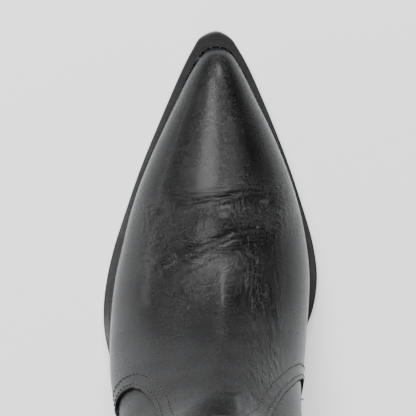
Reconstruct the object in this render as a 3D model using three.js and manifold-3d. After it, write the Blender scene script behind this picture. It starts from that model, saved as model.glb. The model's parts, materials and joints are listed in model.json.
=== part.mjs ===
// A left cowboy boot, in millimetres, +Z up, toe towards -Y and the outer side of the foot towards +X.
// The upper is one smooth body, from the toe round the ankle to the top of the shaft. Every leather
// panel is a patch of that body, set in from its outside by its own depth.
import * as THREE from 'three';
import { mergeVertices } from 'three/addons/utils/BufferGeometryUtils.js';
import Module from 'manifold-3d';

const wasm = await Module();
wasm.setup();

// ---- driving dimensions ----
const SOLE_LENGTH = 315;
const BALL_WIDTH = 109;
const HEEL_HEIGHT = 39.5;
const SHAFT_HEIGHT = 305;
const TOE_SPRING = 12;
const SCALLOP_DIP = 1.3; // in stations of the shaft

// ---- leather and fits ----
const UPPER_LEATHER = 1.8;
const LINING_LEATHER = 1.0;
const BINDING_LEATHER = 1.2;
const STRAP_LEATHER = 1.8;
const GAP = 0.3;
const LAYER_GAP = 0.5; // between curved layers

// ---- sole unit ----
const OUTSOLE_THICKNESS = 5;
const WELT_THICKNESS = 3.2;
const INSOLE_THICKNESS = 3;
const SOCK_THICKNESS = 1.6;
const TOP_PIECE_THICKNESS = 6;
const LIFT_THICKNESS = 5.6;
const LIFT_COUNT = 4;
const NAIL_RADIUS = 1.2;
const PEG_RADIUS = 1.0;
const PEGS_PER_SIDE = 5;

// ---- pull straps ----
const STRAP_WIDTH = 26;
const OUTER_TAIL_LENGTH = 75;
const INNER_TAIL_LENGTH = 60;
const LOOP_HEIGHT = 32;
const LOOP_FOOT_RADIUS = 3.9;
const BINDING_DROP = 8;

// The base last that the tables below are drawn for.
const BASE = { length: 315, ball: 109, shaft: 305 };
const ALONG = SOLE_LENGTH / BASE.length;
const ACROSS = BALL_WIDTH / BASE.ball;
const UPWARD = SHAFT_HEIGHT / BASE.shaft;

// ---- small helpers ----
const lerp = (a, b, t) => a + (b - a) * t;
const clamp = (x, low, high) => Math.min(high, Math.max(low, x));

function ramp(x, from, to) {
  const t = clamp((x - from) / (to - from), 0, 1);
  return t * t * (3 - 2 * t);
}

// Value at x of straight lines through points [x, y].
function along(points, x) {
  let i = 1;
  while (i < points.length - 1 && points[i][0] < x) i += 1;
  const [x0, y0] = points[i - 1];
  const [x1, y1] = points[i];
  return lerp(y0, y1, clamp((x - x0) / (x1 - x0), 0, 1));
}

// Smooth row of numbers: a Catmull-Rom curve through them, mirrored (or turned over) before the first.
function smooth(values, k, start) {
  const last = values.length - 1;
  const i = clamp(Math.floor(k), 0, last - 1);
  const at = (j) => {
    if (j < 0) return start * values[1];
    return j > last ? 2 * values[last] - values[last - 1] : values[j];
  };
  const [a, b, c, d] = [at(i - 1), at(i), at(i + 1), at(i + 2)];
  const t = k - i;
  return b + 0.5 * t * (c - a + t * (2 * a - 5 * b + 4 * c - d + t * (3 * (b - c) + d - a)));
}

// ---- the sole's side view: toe spring, flat tread, waist and heel seat ----
const TREAD_FRONT = 90 * ALONG;
const TREAD_BACK = 137 * ALONG;
const SEAT_BACK = 312 * ALONG;

function soleUnder(d) {
  if (d < TREAD_FRONT) return TOE_SPRING * ((TREAD_FRONT - d) / TREAD_FRONT) ** 2;
  const s = Math.max(0, (d - TREAD_BACK) / (SEAT_BACK - TREAD_BACK));
  return HEEL_HEIGHT * (0.94 * ramp(s, 0, 0.72) + 0.06 * Math.min(s, 1));
}
const outsoleTop = (d) => soleUnder(d) + OUTSOLE_THICKNESS;
const weltUnder = (d) => outsoleTop(d) + GAP;
const weltTop = (d) => weltUnder(d) + WELT_THICKNESS;
const insoleUnder = (d) => weltTop(d) + GAP;
const insoleTop = (d) => insoleUnder(d) + INSOLE_THICKNESS;

// ---- the sole's outline: distance from the tip, outer edge, inner edge ----
const SOLE = [
  [0, -4.2, -4.2], [2.8, 3.4, -10.9], [8, 7.3, -15], [21, 14.2, -22.1], [45, 25, -32.4],
  [69, 35.2, -41.5], [94, 44.1, -49.4], [110, 49.3, -53.5], [126, 53.1, -55.2], [142, 54.9, -52.9],
  [158, 53.5, -46.5], [178, 47.5, -37.5], [200, 40.5, -31.5], [225, 36, -30.5], [250, 35, -32],
  [275, 35, -33.5], [297, 29.5, -28.5], [310, 16.5, -15.5], [315, 0.5, 0.5],
];
const SOLE_END = SOLE.length - 1;

function soleEdge(k, side) {
  const d = smooth(SOLE.map((row) => row[0]), k, 1);
  const middle = smooth(SOLE.map((row) => (row[1] + row[2]) / 2), k, 1);
  const half = smooth(SOLE.map((row) => (row[1] - row[2]) / 2), k, -1);
  return [(middle + side * half) * ACROSS, d * ALONG];
}

// ---- the upper's stations, from the toe to the top of the shaft ----
// front: distance and rise of the ridge, back: distance and rise of the feather edge or back line,
// half: half width, middle: sideways place, widest: where along the section it is widest,
// ridge: how round the ridge is, feather: share of the width left at the feather edge.
const STATIONS = [
  { front: [8, 0], back: [8, 0], half: 0, middle: -4.6, widest: 0.66, ridge: 2.1, feather: 0.93 },
  { front: [9.4, 8], back: [9.2, 0], half: 4.8, middle: -4.6, widest: 0.66, ridge: 2.1, feather: 0.93 },
  { front: [14, 14], back: [13, 0], half: 9, middle: -4.5, widest: 0.66, ridge: 2.1, feather: 0.93 },
  { front: [23, 20], back: [22, 0], half: 14.2, middle: -4.2, widest: 0.66, ridge: 2.05, feather: 0.93 },
  { front: [35, 25], back: [34, 0], half: 20, middle: -4, widest: 0.67, ridge: 2, feather: 0.93 },
  { front: [49, 30], back: [49, 0], half: 27, middle: -3.8, widest: 0.68, ridge: 2, feather: 0.93 },
  { front: [64, 35], back: [64, 0], half: 33.6, middle: -3.4, widest: 0.7, ridge: 2, feather: 0.94 },
  { front: [79, 39.5], back: [79, 0], half: 39.3, middle: -3, widest: 0.71, ridge: 2, feather: 0.95 },
  { front: [95, 44], back: [95, 0], half: 43.9, middle: -2.6, widest: 0.72, ridge: 1.95, feather: 0.96 },
  { front: [110, 48.5], back: [110, 0], half: 47, middle: -2, widest: 0.72, ridge: 1.9, feather: 0.97 },
  { front: [124, 53.5], back: [125, 0], half: 49.2, middle: -0.8, widest: 0.71, ridge: 1.85, feather: 0.97 },
  { front: [136, 58], back: [142, 0], half: 49.8, middle: 0.8, widest: 0.68, ridge: 1.8, feather: 0.97 },
  { front: [147.5, 61.5], back: [164, 0], half: 49.2, middle: 2.6, widest: 0.62, ridge: 1.8, feather: 0.91 },
  { front: [158, 61], back: [190, 0], half: 48, middle: 3.6, widest: 0.54, ridge: 1.85, feather: 0.76 },
  { front: [167, 58.5], back: [218, 0], half: 46.4, middle: 2.8, widest: 0.47, ridge: 1.9, feather: 0.68 },
  { front: [174, 58], back: [248, 0], half: 45, middle: 1.6, widest: 0.44, ridge: 1.95, feather: 0.7 },
  { front: [179, 65], back: [278, 0], half: 44, middle: 0.7, widest: 0.44, ridge: 2, feather: 0.72 },
  { front: [182.5, 74], back: [301, 0], half: 43, middle: 0.4, widest: 0.45, ridge: 2, feather: 0.5 },
  { front: [184.5, 84], back: [312, 0], half: 42.5, middle: 0.2, widest: 0.46, ridge: 2, feather: 0 },
  { front: [186, 96], back: [314.5, 13], half: 42.2, middle: 0, widest: 0.47, ridge: 2, feather: 0 },
  { front: [186.5, 110], back: [313.5, 32], half: 42, middle: 0, widest: 0.48, ridge: 2, feather: 0 },
  { front: [186, 129], back: [309, 55], half: 42.2, middle: 0, widest: 0.49, ridge: 2, feather: 0 },
  { front: [184.5, 152], back: [305.5, 84], half: 42.8, middle: 0, widest: 0.5, ridge: 2, feather: 0 },
  { front: [182, 180], back: [305, 122], half: 44, middle: 0, widest: 0.5, ridge: 2, feather: 0 },
  { front: [178, 214], back: [308.5, 168], half: 45.8, middle: 0, widest: 0.5, ridge: 2, feather: 0 },
  { front: [173.5, 250], back: [314, 222], half: 47.4, middle: 0, widest: 0.5, ridge: 2, feather: 0 },
  { front: [170, 282], back: [319, 270], half: 48.6, middle: 0, widest: 0.5, ridge: 2, feather: 0 },
  { front: [168, 305], back: [322, 305], half: 49.2, middle: 0, widest: 0.5, ridge: 2, feather: 0 },
];
const TOP = STATIONS.length - 1;
const HEEL_CORNER = 18; // the station whose section ends at the back of the heel seat
const RIDGE_LEAN = [[0, 0], [4, -1], [9, -4], [12, -7.5], [15, -6], [18, -2], [22, 0], [27, 0]];
const BACK_ROUNDNESS = [[0, 2], [12, 2], [13.5, 1.25], [17, 1.3], [18.5, 1.9], [20, 2], [27, 2]];

const column = (pick, k, start) => smooth(STATIONS.map(pick), k, start);

function station(k) {
  const backD = column((s) => s.back[0], k, 1) * ALONG;
  const lift = insoleUnder(Math.min(backD, SEAT_BACK));
  const grow = lerp(1, UPWARD, ramp(k, HEEL_CORNER - 4, HEEL_CORNER + 4));
  const feather = column((s) => s.feather, k, 1);
  return {
    front: [column((s) => s.front[0], k, 1) * ALONG, lift + column((s) => s.front[1], k, -1) * grow],
    back: [backD, lift + Math.max(0, column((s) => s.back[1], k, 1)) * grow],
    half: column((s) => s.half, k, -1) * ACROSS,
    middle: column((s) => s.middle, k, 1) * ACROSS,
    lean: along(RIDGE_LEAN, k) * ACROSS,
    widest: column((s) => s.widest, k, 1),
    ridge: column((s) => s.ridge, k, 1),
    belly: along(BACK_ROUNDNESS, k),
    feather: k < HEEL_CORNER ? Math.max(0, feather) : 0,
  };
}

// Point of the boot's outside. turn runs from 0 at the ridge to 1 at the feather edge or the back
// line on the outer side, and to -1 on the inner side.
const wrap = (turn) => turn - 2 * Math.round(turn / 2);

function skin(k, turn) {
  const s = station(k);
  const wrapped = Math.abs(turn) > 1 ? wrap(turn) : turn;
  const side = wrapped < 0 ? -1 : 1;
  const angle = Math.abs(wrapped) * Math.PI;
  const rise = Math.max(0, Math.sin(angle));
  let share = s.widest * (1 - Math.max(0, Math.cos(angle)) ** (2 / s.ridge));
  let width = rise ** (2 / s.ridge);
  if (angle > Math.PI / 2) {
    share = s.widest + (1 - s.widest) * (-Math.cos(angle)) ** (2 / s.belly);
    width = s.feather + (1 - s.feather) * rise ** (2 / s.belly);
  }
  const x = s.middle + s.lean * (1 - share) ** 2 + side * s.half * width;
  const y = lerp(s.front[0], s.back[0], share);
  return new THREE.Vector3(x, y, lerp(s.front[1], s.back[1], share));
}

const STEP = 0.012;

// Point at a depth under the outside (a negative depth stands proud of it).
function under(k, turn, depth) {
  const open = k < HEEL_CORNER;
  const place = Math.abs(turn) > 1 ? wrap(turn) : turn;
  const high = open ? Math.min(place + STEP, 1) : place + STEP;
  const low = open ? Math.max(place - STEP, -1) : place - STEP;
  const round = skin(k, high).sub(skin(k, low));
  const forward = skin(k + STEP, turn).sub(skin(Math.max(k - STEP, 0), turn));
  const inward = forward.cross(round).normalize();
  return skin(k, turn).addScaledVector(inward, depth);
}

// Largest turn at which a layer at a depth still stands a height above the insole's underside.
function restingTurn(k, depth, thickness, height) {
  const clear = (turn) => [depth, depth + thickness].every((d) => {
    const point = under(k, turn, d);
    return point.z > insoleUnder(Math.min(point.y, SEAT_BACK)) + height;
  });
  if (clear(1)) return 1;
  let [standing, sunk] = [0.5, 1];
  for (let i = 0; i < 16; i += 1) {
    const middle = (standing + sunk) / 2;
    if (clear(middle)) standing = middle;
    else sunk = middle;
  }
  return standing;
}

// ---- solids ----
// Six times the volume that the triangles close in: negative when they face inwards.
function signedVolume(points, triangles) {
  let sum = 0;
  for (let i = 0; i < triangles.length; i += 3) {
    const [a, b, c] = triangles.slice(i, i + 3).map((j) => points[j]);
    sum += a.dot(b.clone().cross(c));
  }
  return sum;
}

function geometryOf(points, triangles) {
  const outward = signedVolume(points, triangles) > 0;
  const geometry = new THREE.BufferGeometry();
  geometry.setAttribute('position', new THREE.Float32BufferAttribute(points.flatMap((p) => p.toArray()), 3));
  geometry.setIndex(outward ? triangles : triangles.reverse());
  return geometry;
}

// Closed solid between two grids of points of equal size. closed joins the last column to the first.
function between(outer, inner, closed = false) {
  const rows = outer.length;
  const cols = outer[0].length;
  const points = [...outer.flat(), ...inner.flat()];
  const triangles = [];
  const at = (layer, r, c) => layer * rows * cols + r * cols + (c % cols);
  const quad = (a, b, c, d) => triangles.push(a, b, c, a, c, d);
  const spans = closed ? cols : cols - 1;
  for (let r = 0; r < rows - 1; r += 1) {
    for (let c = 0; c < spans; c += 1) {
      quad(at(0, r, c), at(0, r, c + 1), at(0, r + 1, c + 1), at(0, r + 1, c));
      quad(at(1, r, c), at(1, r + 1, c), at(1, r + 1, c + 1), at(1, r, c + 1));
    }
    if (!closed) {
      quad(at(0, r, 0), at(0, r + 1, 0), at(1, r + 1, 0), at(1, r, 0));
      quad(at(0, r, cols - 1), at(1, r, cols - 1), at(1, r + 1, cols - 1), at(0, r + 1, cols - 1));
    }
  }
  for (let c = 0; c < spans; c += 1) {
    quad(at(0, 0, c), at(1, 0, c), at(1, 0, c + 1), at(0, 0, c + 1));
    quad(at(0, rows - 1, c), at(0, rows - 1, c + 1), at(1, rows - 1, c + 1), at(1, rows - 1, c));
  }
  return geometryOf(points, triangles);
}

function solidOf(geometry) {
  const bare = new THREE.BufferGeometry();
  bare.setAttribute('position', geometry.getAttribute('position').clone());
  if (geometry.index) bare.setIndex(geometry.index.clone());
  const merged = mergeVertices(bare, 1e-5);
  const mesh = new wasm.Mesh({
    numProp: 3,
    vertProperties: new Float32Array(merged.getAttribute('position').array),
    triVerts: new Uint32Array(merged.index.array),
  });
  mesh.merge();
  return new wasm.Manifold(mesh);
}

function geometryFrom(solid) {
  const mesh = solid.getMesh();
  const geometry = new THREE.BufferGeometry();
  geometry.setAttribute('position', new THREE.BufferAttribute(new Float32Array(mesh.vertProperties), 3));
  geometry.setIndex(new THREE.BufferAttribute(new Uint32Array(mesh.triVerts), 1));
  return geometry;
}

// ---- the object and its materials ----
const boot = new THREE.Group();
const FINISHES = {
  leather: { color: 0x17171a, roughness: 0.38, metalness: 0 },
  lining: { color: 0x6b5138, roughness: 0.75, metalness: 0 },
  stiffener: { color: 0x8a7a62, roughness: 0.9, metalness: 0 },
  sole: { color: 0x121213, roughness: 0.6, metalness: 0 },
  insole: { color: 0xb08a5c, roughness: 0.8, metalness: 0 },
  cork: { color: 0x9a6b3f, roughness: 0.95, metalness: 0 },
  steel: { color: 0x9a9da0, roughness: 0.35, metalness: 1 },
  brass: { color: 0xb08d4a, roughness: 0.35, metalness: 1 },
  wood: { color: 0xc7a878, roughness: 0.7, metalness: 0 },
  rubber: { color: 0x0e0e0e, roughness: 0.85, metalness: 0 },
};

function add(name, geometry, finish) {
  const mesh = new THREE.Mesh(geometry, new THREE.MeshStandardMaterial(FINISHES[finish]));
  mesh.name = name;
  boot.add(mesh);
}

// ---- panels of the upper ----
// place(u, v) gives [station, turn]; the panel lies from depth(k, turn) to that plus its thickness.
function panel(name, finish, us, rows, place, depth, thickness) {
  const layer = (extra) => {
    const grid = [];
    for (let r = 0; r <= rows; r += 1) {
      grid.push(us.map((u) => {
        const [k, turn] = place(u, r / rows);
        return under(k, turn, depth(k, turn) + extra);
      }));
    }
    return grid;
  };
  add(name, between(layer(0), layer(thickness)), finish);
}

const evenly = (from, to, count) => Array.from({ length: count + 1 }, (_, i) => lerp(from, to, i / count));

// Depths of the layers under the outside.
const SHAFT_DEPTH = UPPER_LEATHER + LAYER_GAP;
const LINING_STEP = UPPER_LEATHER + LAYER_GAP;

// Linings run deep under the toe puff and under the shaft, and close under the vamp between them.
function liningDepth(k) {
  return SHAFT_DEPTH + LINING_STEP * (1 - ramp(k, 4.6, 6) + ramp(k, 11.2, 12.2));
}
const heelLiningDepth = (k) => liningDepth(k) + 4 * LAYER_GAP * ramp(k, 14, 16);
// The shaft lies a little deeper where the vamp and the counter cover lap over it, and the more so on
// a wider boot, whose flat facets stand further from its curve.
const underLap = (k) => LAYER_GAP * (1.6 * ACROSS ** 2 - 1.5 * ramp(k, 19, 21.5));
const shaftDepth = (k) => SHAFT_DEPTH + underLap(k);
const shaftLiningDepth = (k) => liningDepth(k) + underLap(k);

// The vamp's back edge: station against turn, on the outer and on the inner side. The tongue is its
// narrow middle, and the notch beside it dips deeper and further round on the inner side.
const TONGUE_TIP = 20.6;
const VAMP_EDGE_OUTER = [
  [0, TONGUE_TIP], [0.09, 20.1], [0.165, 18.6], [0.21, 17], [0.243, 15.2], [0.262, 14.6], [0.29, 14.1],
  [0.33, 13.8], [0.38, 13.72], [0.44, 13.74], [0.52, 13.9], [0.6, 14.2], [0.68, 14.75], [0.74, 15.2],
  [0.86, 15.3], [1, 15.32],
];
const VAMP_EDGE_INNER = [
  [0, TONGUE_TIP], [0.09, 20.05], [0.145, 18.4], [0.185, 16.7], [0.205, 15.7], [0.23, 15], [0.26, 14.45],
  [0.3, 14], [0.35, 13.55], [0.42, 13.2], [0.5, 13.1], [0.57, 13.3], [0.64, 13.95], [0.7, 14.8],
  [0.86, 15.3], [1, 15.32],
];
const vampEdge = (turn) => along(turn < 0 ? VAMP_EDGE_INNER : VAMP_EDGE_OUTER, Math.abs(turn));
const SHAFT_START = 12.6;
const LINING_SPLIT = 12.5;
const FEATHER_LIFT = 0.45;

const FIRST_STATION = 0.06;
const VAMP_ROWS = 26;
// Rows lie closer near the toe, where the outline is round.
const toeward = (v, end) => lerp(FIRST_STATION, end, v ** 1.15);

function addVamp() {
  const outer = VAMP_EDGE_OUTER.map(([turn]) => turn);
  const inner = VAMP_EDGE_INNER.slice(1).map(([turn]) => -turn).reverse();
  const place = (turn, v) => {
    const k = toeward(v, vampEdge(turn));
    const lowest = restingTurn(k, 0, UPPER_LEATHER, FEATHER_LIFT);
    return [k, Math.sign(turn) * Math.min(Math.abs(turn), lowest)];
  };
  panel('vamp', 'leather', [...inner, ...outer], VAMP_ROWS, place, () => 0, UPPER_LEATHER);
}

// Lower turn of an inner layer, which stops on the insole.
const ON_INSOLE = INSOLE_THICKNESS + GAP;
const firmFoot = (k) => restingTurn(k, SHAFT_DEPTH, UPPER_LEATHER, ON_INSOLE);
const liningFoot = (k) => restingTurn(k, liningDepth(k), LINING_LEATHER, ON_INSOLE);

function addToeLayers() {
  const puffEnd = 4.4;
  const puffPlace = (u, v) => {
    const k = lerp(0.9, puffEnd, v);
    return [k, u * firmFoot(k)];
  };
  panel('toe_puff', 'stiffener', evenly(-1, 1, 14), 7, puffPlace, () => SHAFT_DEPTH, UPPER_LEATHER);
  const liningPlace = (u, v) => {
    const k = lerp(0.9, LINING_SPLIT - 0.04, v);
    return [k, u * liningFoot(k)];
  };
  panel('vamp_lining', 'lining', evenly(-1, 1, 16), 16, liningPlace, liningDepth, LINING_LEATHER);
}

// ---- heel panels: across runs round the heel, up runs from the feather edge to the top edge ----
const HEEL_ROUND = evenly(-1, 1, 24);

function heelPlace(low, high, lowTurn, inset) {
  return (across, v) => {
    const side = across < 0 ? -1 : 1;
    const back = 1 - Math.abs(across);
    const bottom = lerp(low, HEEL_CORNER + inset, back);
    const [topK, topTurn] = high(back);
    const turn = lerp(lowTurn(bottom), topTurn, v);
    return [lerp(bottom, topK, v), side * (back === 1 ? 1 : turn)];
  };
}

// Top edge of the counter cover, from its front corner (0) to the back line (1).
const COUNTER_TOP_STATION = [[0, 15.45], [0.2, 16.6], [0.4, 17.9], [0.6, 19.2], [0.8, 20.5], [1, 21.3]];
const COUNTER_TOP_TURN = [[0, 0.72], [0.2, 0.66], [0.4, 0.64], [0.6, 0.69], [0.8, 0.81], [1, 1]];

function addHeelLayers() {
  const coverTop = (b) => [along(COUNTER_TOP_STATION, b), along(COUNTER_TOP_TURN, b)];
  const cover = heelPlace(15.42, coverTop, () => 1, 0.05);
  panel('counter_cover', 'leather', HEEL_ROUND, 8, cover, () => 0, UPPER_LEATHER);
  const firmTop = (b) => underShaft(lerp(0.5, 1, b));
  panel('heel_stiffener', 'stiffener', HEEL_ROUND, 5, heelPlace(15.9, firmTop, firmFoot, 0.5),
    () => SHAFT_DEPTH, UPPER_LEATHER);
  panel('heel_lining', 'lining', HEEL_ROUND, 6, heelPlace(LINING_SPLIT, underShaft, liningFoot, 0.5),
    heelLiningDepth, LINING_LEATHER);
}

// ---- the shaft ----
const topEdge = (turn) => TOP - SCALLOP_DIP * Math.abs(Math.cos(turn * Math.PI)) ** 1.6;
// The side seam runs straight down the boot's side.
const seamTurn = (k) => lerp(0.74, 0.5, ramp(k, 14.6, 18.6));
// Lower edge of the shaft's back, from the side seam (0) to the back line (1).
const SHAFT_BACK_START = [[0, 15.2], [0.25, 15.6], [0.5, 16.6], [0.75, 18.1], [1, 19.8]];
// Where the heel's layers end, just under the shaft.
const HEEL_TOP_STATION = [[0, 12.55], [0.4, 15.05], [0.55, 15.5], [0.7, 16.5], [0.85, 18], [1, 19.66]];
const HEEL_TOP_TURN = [[0, 0.77], [0.4, 0.77], [0.55, 0.8], [0.7, 0.86], [0.85, 0.93], [1, 1]];
const underShaft = (back) => [along(HEEL_TOP_STATION, back), along(HEEL_TOP_TURN, back)];
const SEAM_GAP = 0.003; // half the gap at a side seam, as a turn

const SHAFT_ROWS = 16;
const HALF_ROUND = 16; // columns in half of the shaft

// The front runs from seam to seam over the ridge, the back from seam to seam round the back line.
function frontPlace(u, v) {
  const k = lerp(SHAFT_START, topEdge(u / 2), v);
  return [k, u * (seamTurn(k) - SEAM_GAP)];
}

function backPlace(u, v) {
  const back = 1 - Math.abs(u);
  const k = lerp(along(SHAFT_BACK_START, back), topEdge(lerp(0.5, 1, back)), v);
  const turn = lerp(seamTurn(k) + SEAM_GAP, 1, back);
  return [k, u > 0 ? 2 - turn : turn];
}

function addShaft() {
  const across = evenly(-1, 1, HALF_ROUND);
  const shaftPanel = (name, finish, place, depth, thickness) => {
    panel(name, finish, across, SHAFT_ROWS, place, depth, thickness);
  };
  shaftPanel('shaft_front', 'leather', frontPlace, shaftDepth, UPPER_LEATHER);
  shaftPanel('shaft_back', 'leather', backPlace, shaftDepth, UPPER_LEATHER);
  shaftPanel('shaft_lining_front', 'lining', frontPlace, shaftLiningDepth, LINING_LEATHER);
  shaftPanel('shaft_lining_back', 'lining', backPlace, shaftLiningDepth, LINING_LEATHER);
}

// Station that lies a drop below the top edge, measured along the shaft.
function below(turn, drop) {
  const k = topEdge(turn);
  const perStation = skin(k, turn).distanceTo(skin(k - 1, turn));
  return k - drop / perStation;
}

const LAYERS_INSIDE = SHAFT_DEPTH + LINING_STEP + LINING_LEATHER;
const BINDING_OUTSIDE = SHAFT_DEPTH - LAYER_GAP - BINDING_LEATHER;
const BINDING_TOP = LAYER_GAP + BINDING_LEATHER;

function addBinding() {
  const inside = LAYERS_INSIDE + LAYER_GAP;
  const section = [
    [BINDING_OUTSIDE, -BINDING_TOP], [BINDING_OUTSIDE, BINDING_DROP], [BINDING_OUTSIDE + BINDING_LEATHER, BINDING_DROP],
    [BINDING_OUTSIDE + BINDING_LEATHER, -LAYER_GAP], [inside, -LAYER_GAP], [inside, BINDING_DROP],
    [inside + BINDING_LEATHER, BINDING_DROP], [inside + BINDING_LEATHER, -BINDING_TOP],
  ];
  const turns = evenly(0, 2, 2 * HALF_ROUND).slice(0, -1);
  const ring = section.map(([depth, drop]) => turns.map((turn) => under(below(turn, drop), turn, depth)));
  const points = ring.flat();
  const triangles = [];
  const count = turns.length;
  section.forEach((_, s) => {
    const next = (s + 1) % section.length;
    for (let c = 0; c < count; c += 1) {
      const d = (c + 1) % count;
      triangles.push(s * count + c, next * count + c, next * count + d);
      triangles.push(s * count + c, next * count + d, s * count + d);
    }
  });
  add('collar_binding', geometryOf(points, triangles), 'leather');
}

// A strip over a side seam, from one station up to a drop below the top edge.
function sideStrip(name, side, halfWidth, start, dropTop, depth, thickness, rows) {
  const turnPerMm = (k) => 0.04 / skin(k, seamTurn(k) - 0.02).distanceTo(skin(k, seamTurn(k) + 0.02));
  const place = (u, v) => {
    const k = lerp(start, below(side * 0.5, dropTop), v);
    return [k, side * (seamTurn(k) + u * halfWidth * turnPerMm(k))];
  };
  panel(name, 'leather', [-1, -0.33, 0.33, 1], rows, place, () => depth, thickness);
}

const SIDES = [['lateral', 1], ['medial', -1]];
const PIPING_DEPTH = BINDING_OUTSIDE - GAP / 2;
const OUTER_TAIL_DEPTH = BINDING_OUTSIDE - GAP - STRAP_LEATHER;
const INNER_TAIL_DEPTH = LAYERS_INSIDE + LAYER_GAP + BINDING_LEATHER + GAP;

function addSideStrips() {
  const pipingHalf = 3;
  const pipingStart = 16.2;
  const half = STRAP_WIDTH / 2;
  for (const [label, side] of SIDES) {
    const underBinding = BINDING_DROP + 2 * GAP;
    const outerStart = below(side * 0.5, OUTER_TAIL_LENGTH);
    const innerStart = below(side * 0.5, INNER_TAIL_LENGTH);
    sideStrip(`side_piping_${label}`, side, pipingHalf, pipingStart, underBinding, PIPING_DEPTH, BINDING_LEATHER, 18);
    sideStrip(`strap_outer_tail_${label}`, side, half, outerStart, -BINDING_TOP, OUTER_TAIL_DEPTH, STRAP_LEATHER, 5);
    sideStrip(`strap_inner_tail_${label}`, side, half, innerStart, -BINDING_TOP, INNER_TAIL_DEPTH, STRAP_LEATHER, 5);
  }
}

// Centre line of a strap's hinge, over the middle of the shaft's wall at the side.
function strapHinge(side) {
  const wallMiddle = (OUTER_TAIL_DEPTH + INNER_TAIL_DEPTH + STRAP_LEATHER) / 2;
  const top = under(below(side * 0.5, -BINDING_TOP), side * 0.5, wallMiddle);
  return top.setZ(top.z + GAP + LOOP_FOOT_RADIUS);
}

function addStrapLoops() {
  const eyeHalf = 5.2;
  const eyeLow = LOOP_FOOT_RADIUS + 2;
  const eyeHigh = LOOP_HEIGHT - STRAP_LEATHER - LOOP_FOOT_RADIUS;
  const outerHalf = eyeHalf + STRAP_LEATHER;
  for (const [label, side] of SIDES) {
    const shape = new THREE.Shape();
    shape.absarc(0, 0, LOOP_FOOT_RADIUS, Math.PI, 2 * Math.PI, false);
    shape.lineTo(outerHalf, eyeLow + 3);
    shape.absarc(0, eyeHigh - eyeHalf, outerHalf, 0, Math.PI, false);
    shape.lineTo(-outerHalf, eyeLow + 3);
    shape.closePath();
    const eye = new THREE.Path();
    eye.moveTo(-2.2, eyeLow);
    eye.lineTo(2.2, eyeLow);
    eye.lineTo(eyeHalf, eyeLow + 4);
    eye.absarc(0, eyeHigh - eyeHalf, eyeHalf, 0, Math.PI, false);
    eye.lineTo(-eyeHalf, eyeLow + 4);
    eye.closePath();
    shape.holes.push(eye);
    const geometry = new THREE.ExtrudeGeometry(shape, { depth: STRAP_WIDTH, bevelEnabled: false, curveSegments: 8 });
    geometry.translate(0, 0, -STRAP_WIDTH / 2);
    geometry.rotateX(Math.PI / 2);
    geometry.translate(...strapHinge(side).toArray());
    add(`strap_loop_${label}`, geometry, 'leather');
  }
}

// ---- sole unit: plates lofted between two edges, each edge point [x, distance] ----
function plate(rows, low, high) {
  const grid = (height) => rows.map(([left, right]) => {
    return [new THREE.Vector3(...left, height(left[1])), new THREE.Vector3(...right, height(right[1]))];
  });
  return between(grid(high), grid(low));
}

// Rows across an outline, each edge moved in by an inset. edge(k, side) gives the outline.
function insetRows(edge, from, to, count, inset) {
  const rows = [];
  for (const k of evenly(from, to, count)) {
    const [left, right] = [1, -1].map((side) => {
      const here = edge(k, side);
      const next = edge(Math.min(k + STEP, to), side);
      const last = edge(Math.max(k - STEP, from), side);
      const tangent = new THREE.Vector2(next[0] - last[0], next[1] - last[1]).normalize();
      return [here[0] - side * tangent.y * inset, here[1] + side * tangent.x * inset];
    });
    if (left[0] - right[0] > 1.2) rows.push([left, right]);
  }
  return rows;
}

function featherEdge(k, side) {
  const point = skin(k, side);
  return [point.x, point.y];
}

const SOLE_STEPS = 46;
const FEATHER_STEPS = 40;
const BREAST_TOP = 240 * ALONG;
const WELT_LAP = 5; // how far the welt reaches in under the upper
const SHANK_FRONT = 166 * ALONG;
const SHANK_BACK = 268 * ALONG;

const featherRows = (inset, from = 0.05) => insetRows(featherEdge, from, HEEL_CORNER - 0.02, FEATHER_STEPS, inset);
const keep = (rows, from, to) => rows.filter(([left]) => left[1] > from && left[1] < to);

function box(fromY, toY) {
  const size = 400;
  const geometry = new THREE.BoxGeometry(size, toY - fromY, size);
  geometry.translate(0, (fromY + toY) / 2, 0);
  return solidOf(geometry);
}

function pegPlaces() {
  const places = [];
  for (let i = 0; i < PEGS_PER_SIDE; i += 1) {
    const d = lerp(178, 226, i / (PEGS_PER_SIDE - 1)) * ALONG;
    places.push([pegSide(d, 1), d], [pegSide(d, -1), d]);
  }
  return places;
}
// A peg stands in the waist, well inside the sole's edge.
function pegSide(d, side) {
  const half = side > 0 ? [[178, 47.5], [200, 40.5], [226, 36]] : [[178, -37.5], [200, -31.5], [226, -30.5]];
  return along(half, d / ALONG) * ACROSS - side * 6;
}

function cylinder(x, y, low, high, radius, sides) {
  const geometry = new THREE.CylinderGeometry(radius, radius, high - low, sides);
  geometry.rotateX(Math.PI / 2);
  geometry.translate(x, y, (low + high) / 2);
  return geometry;
}

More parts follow.
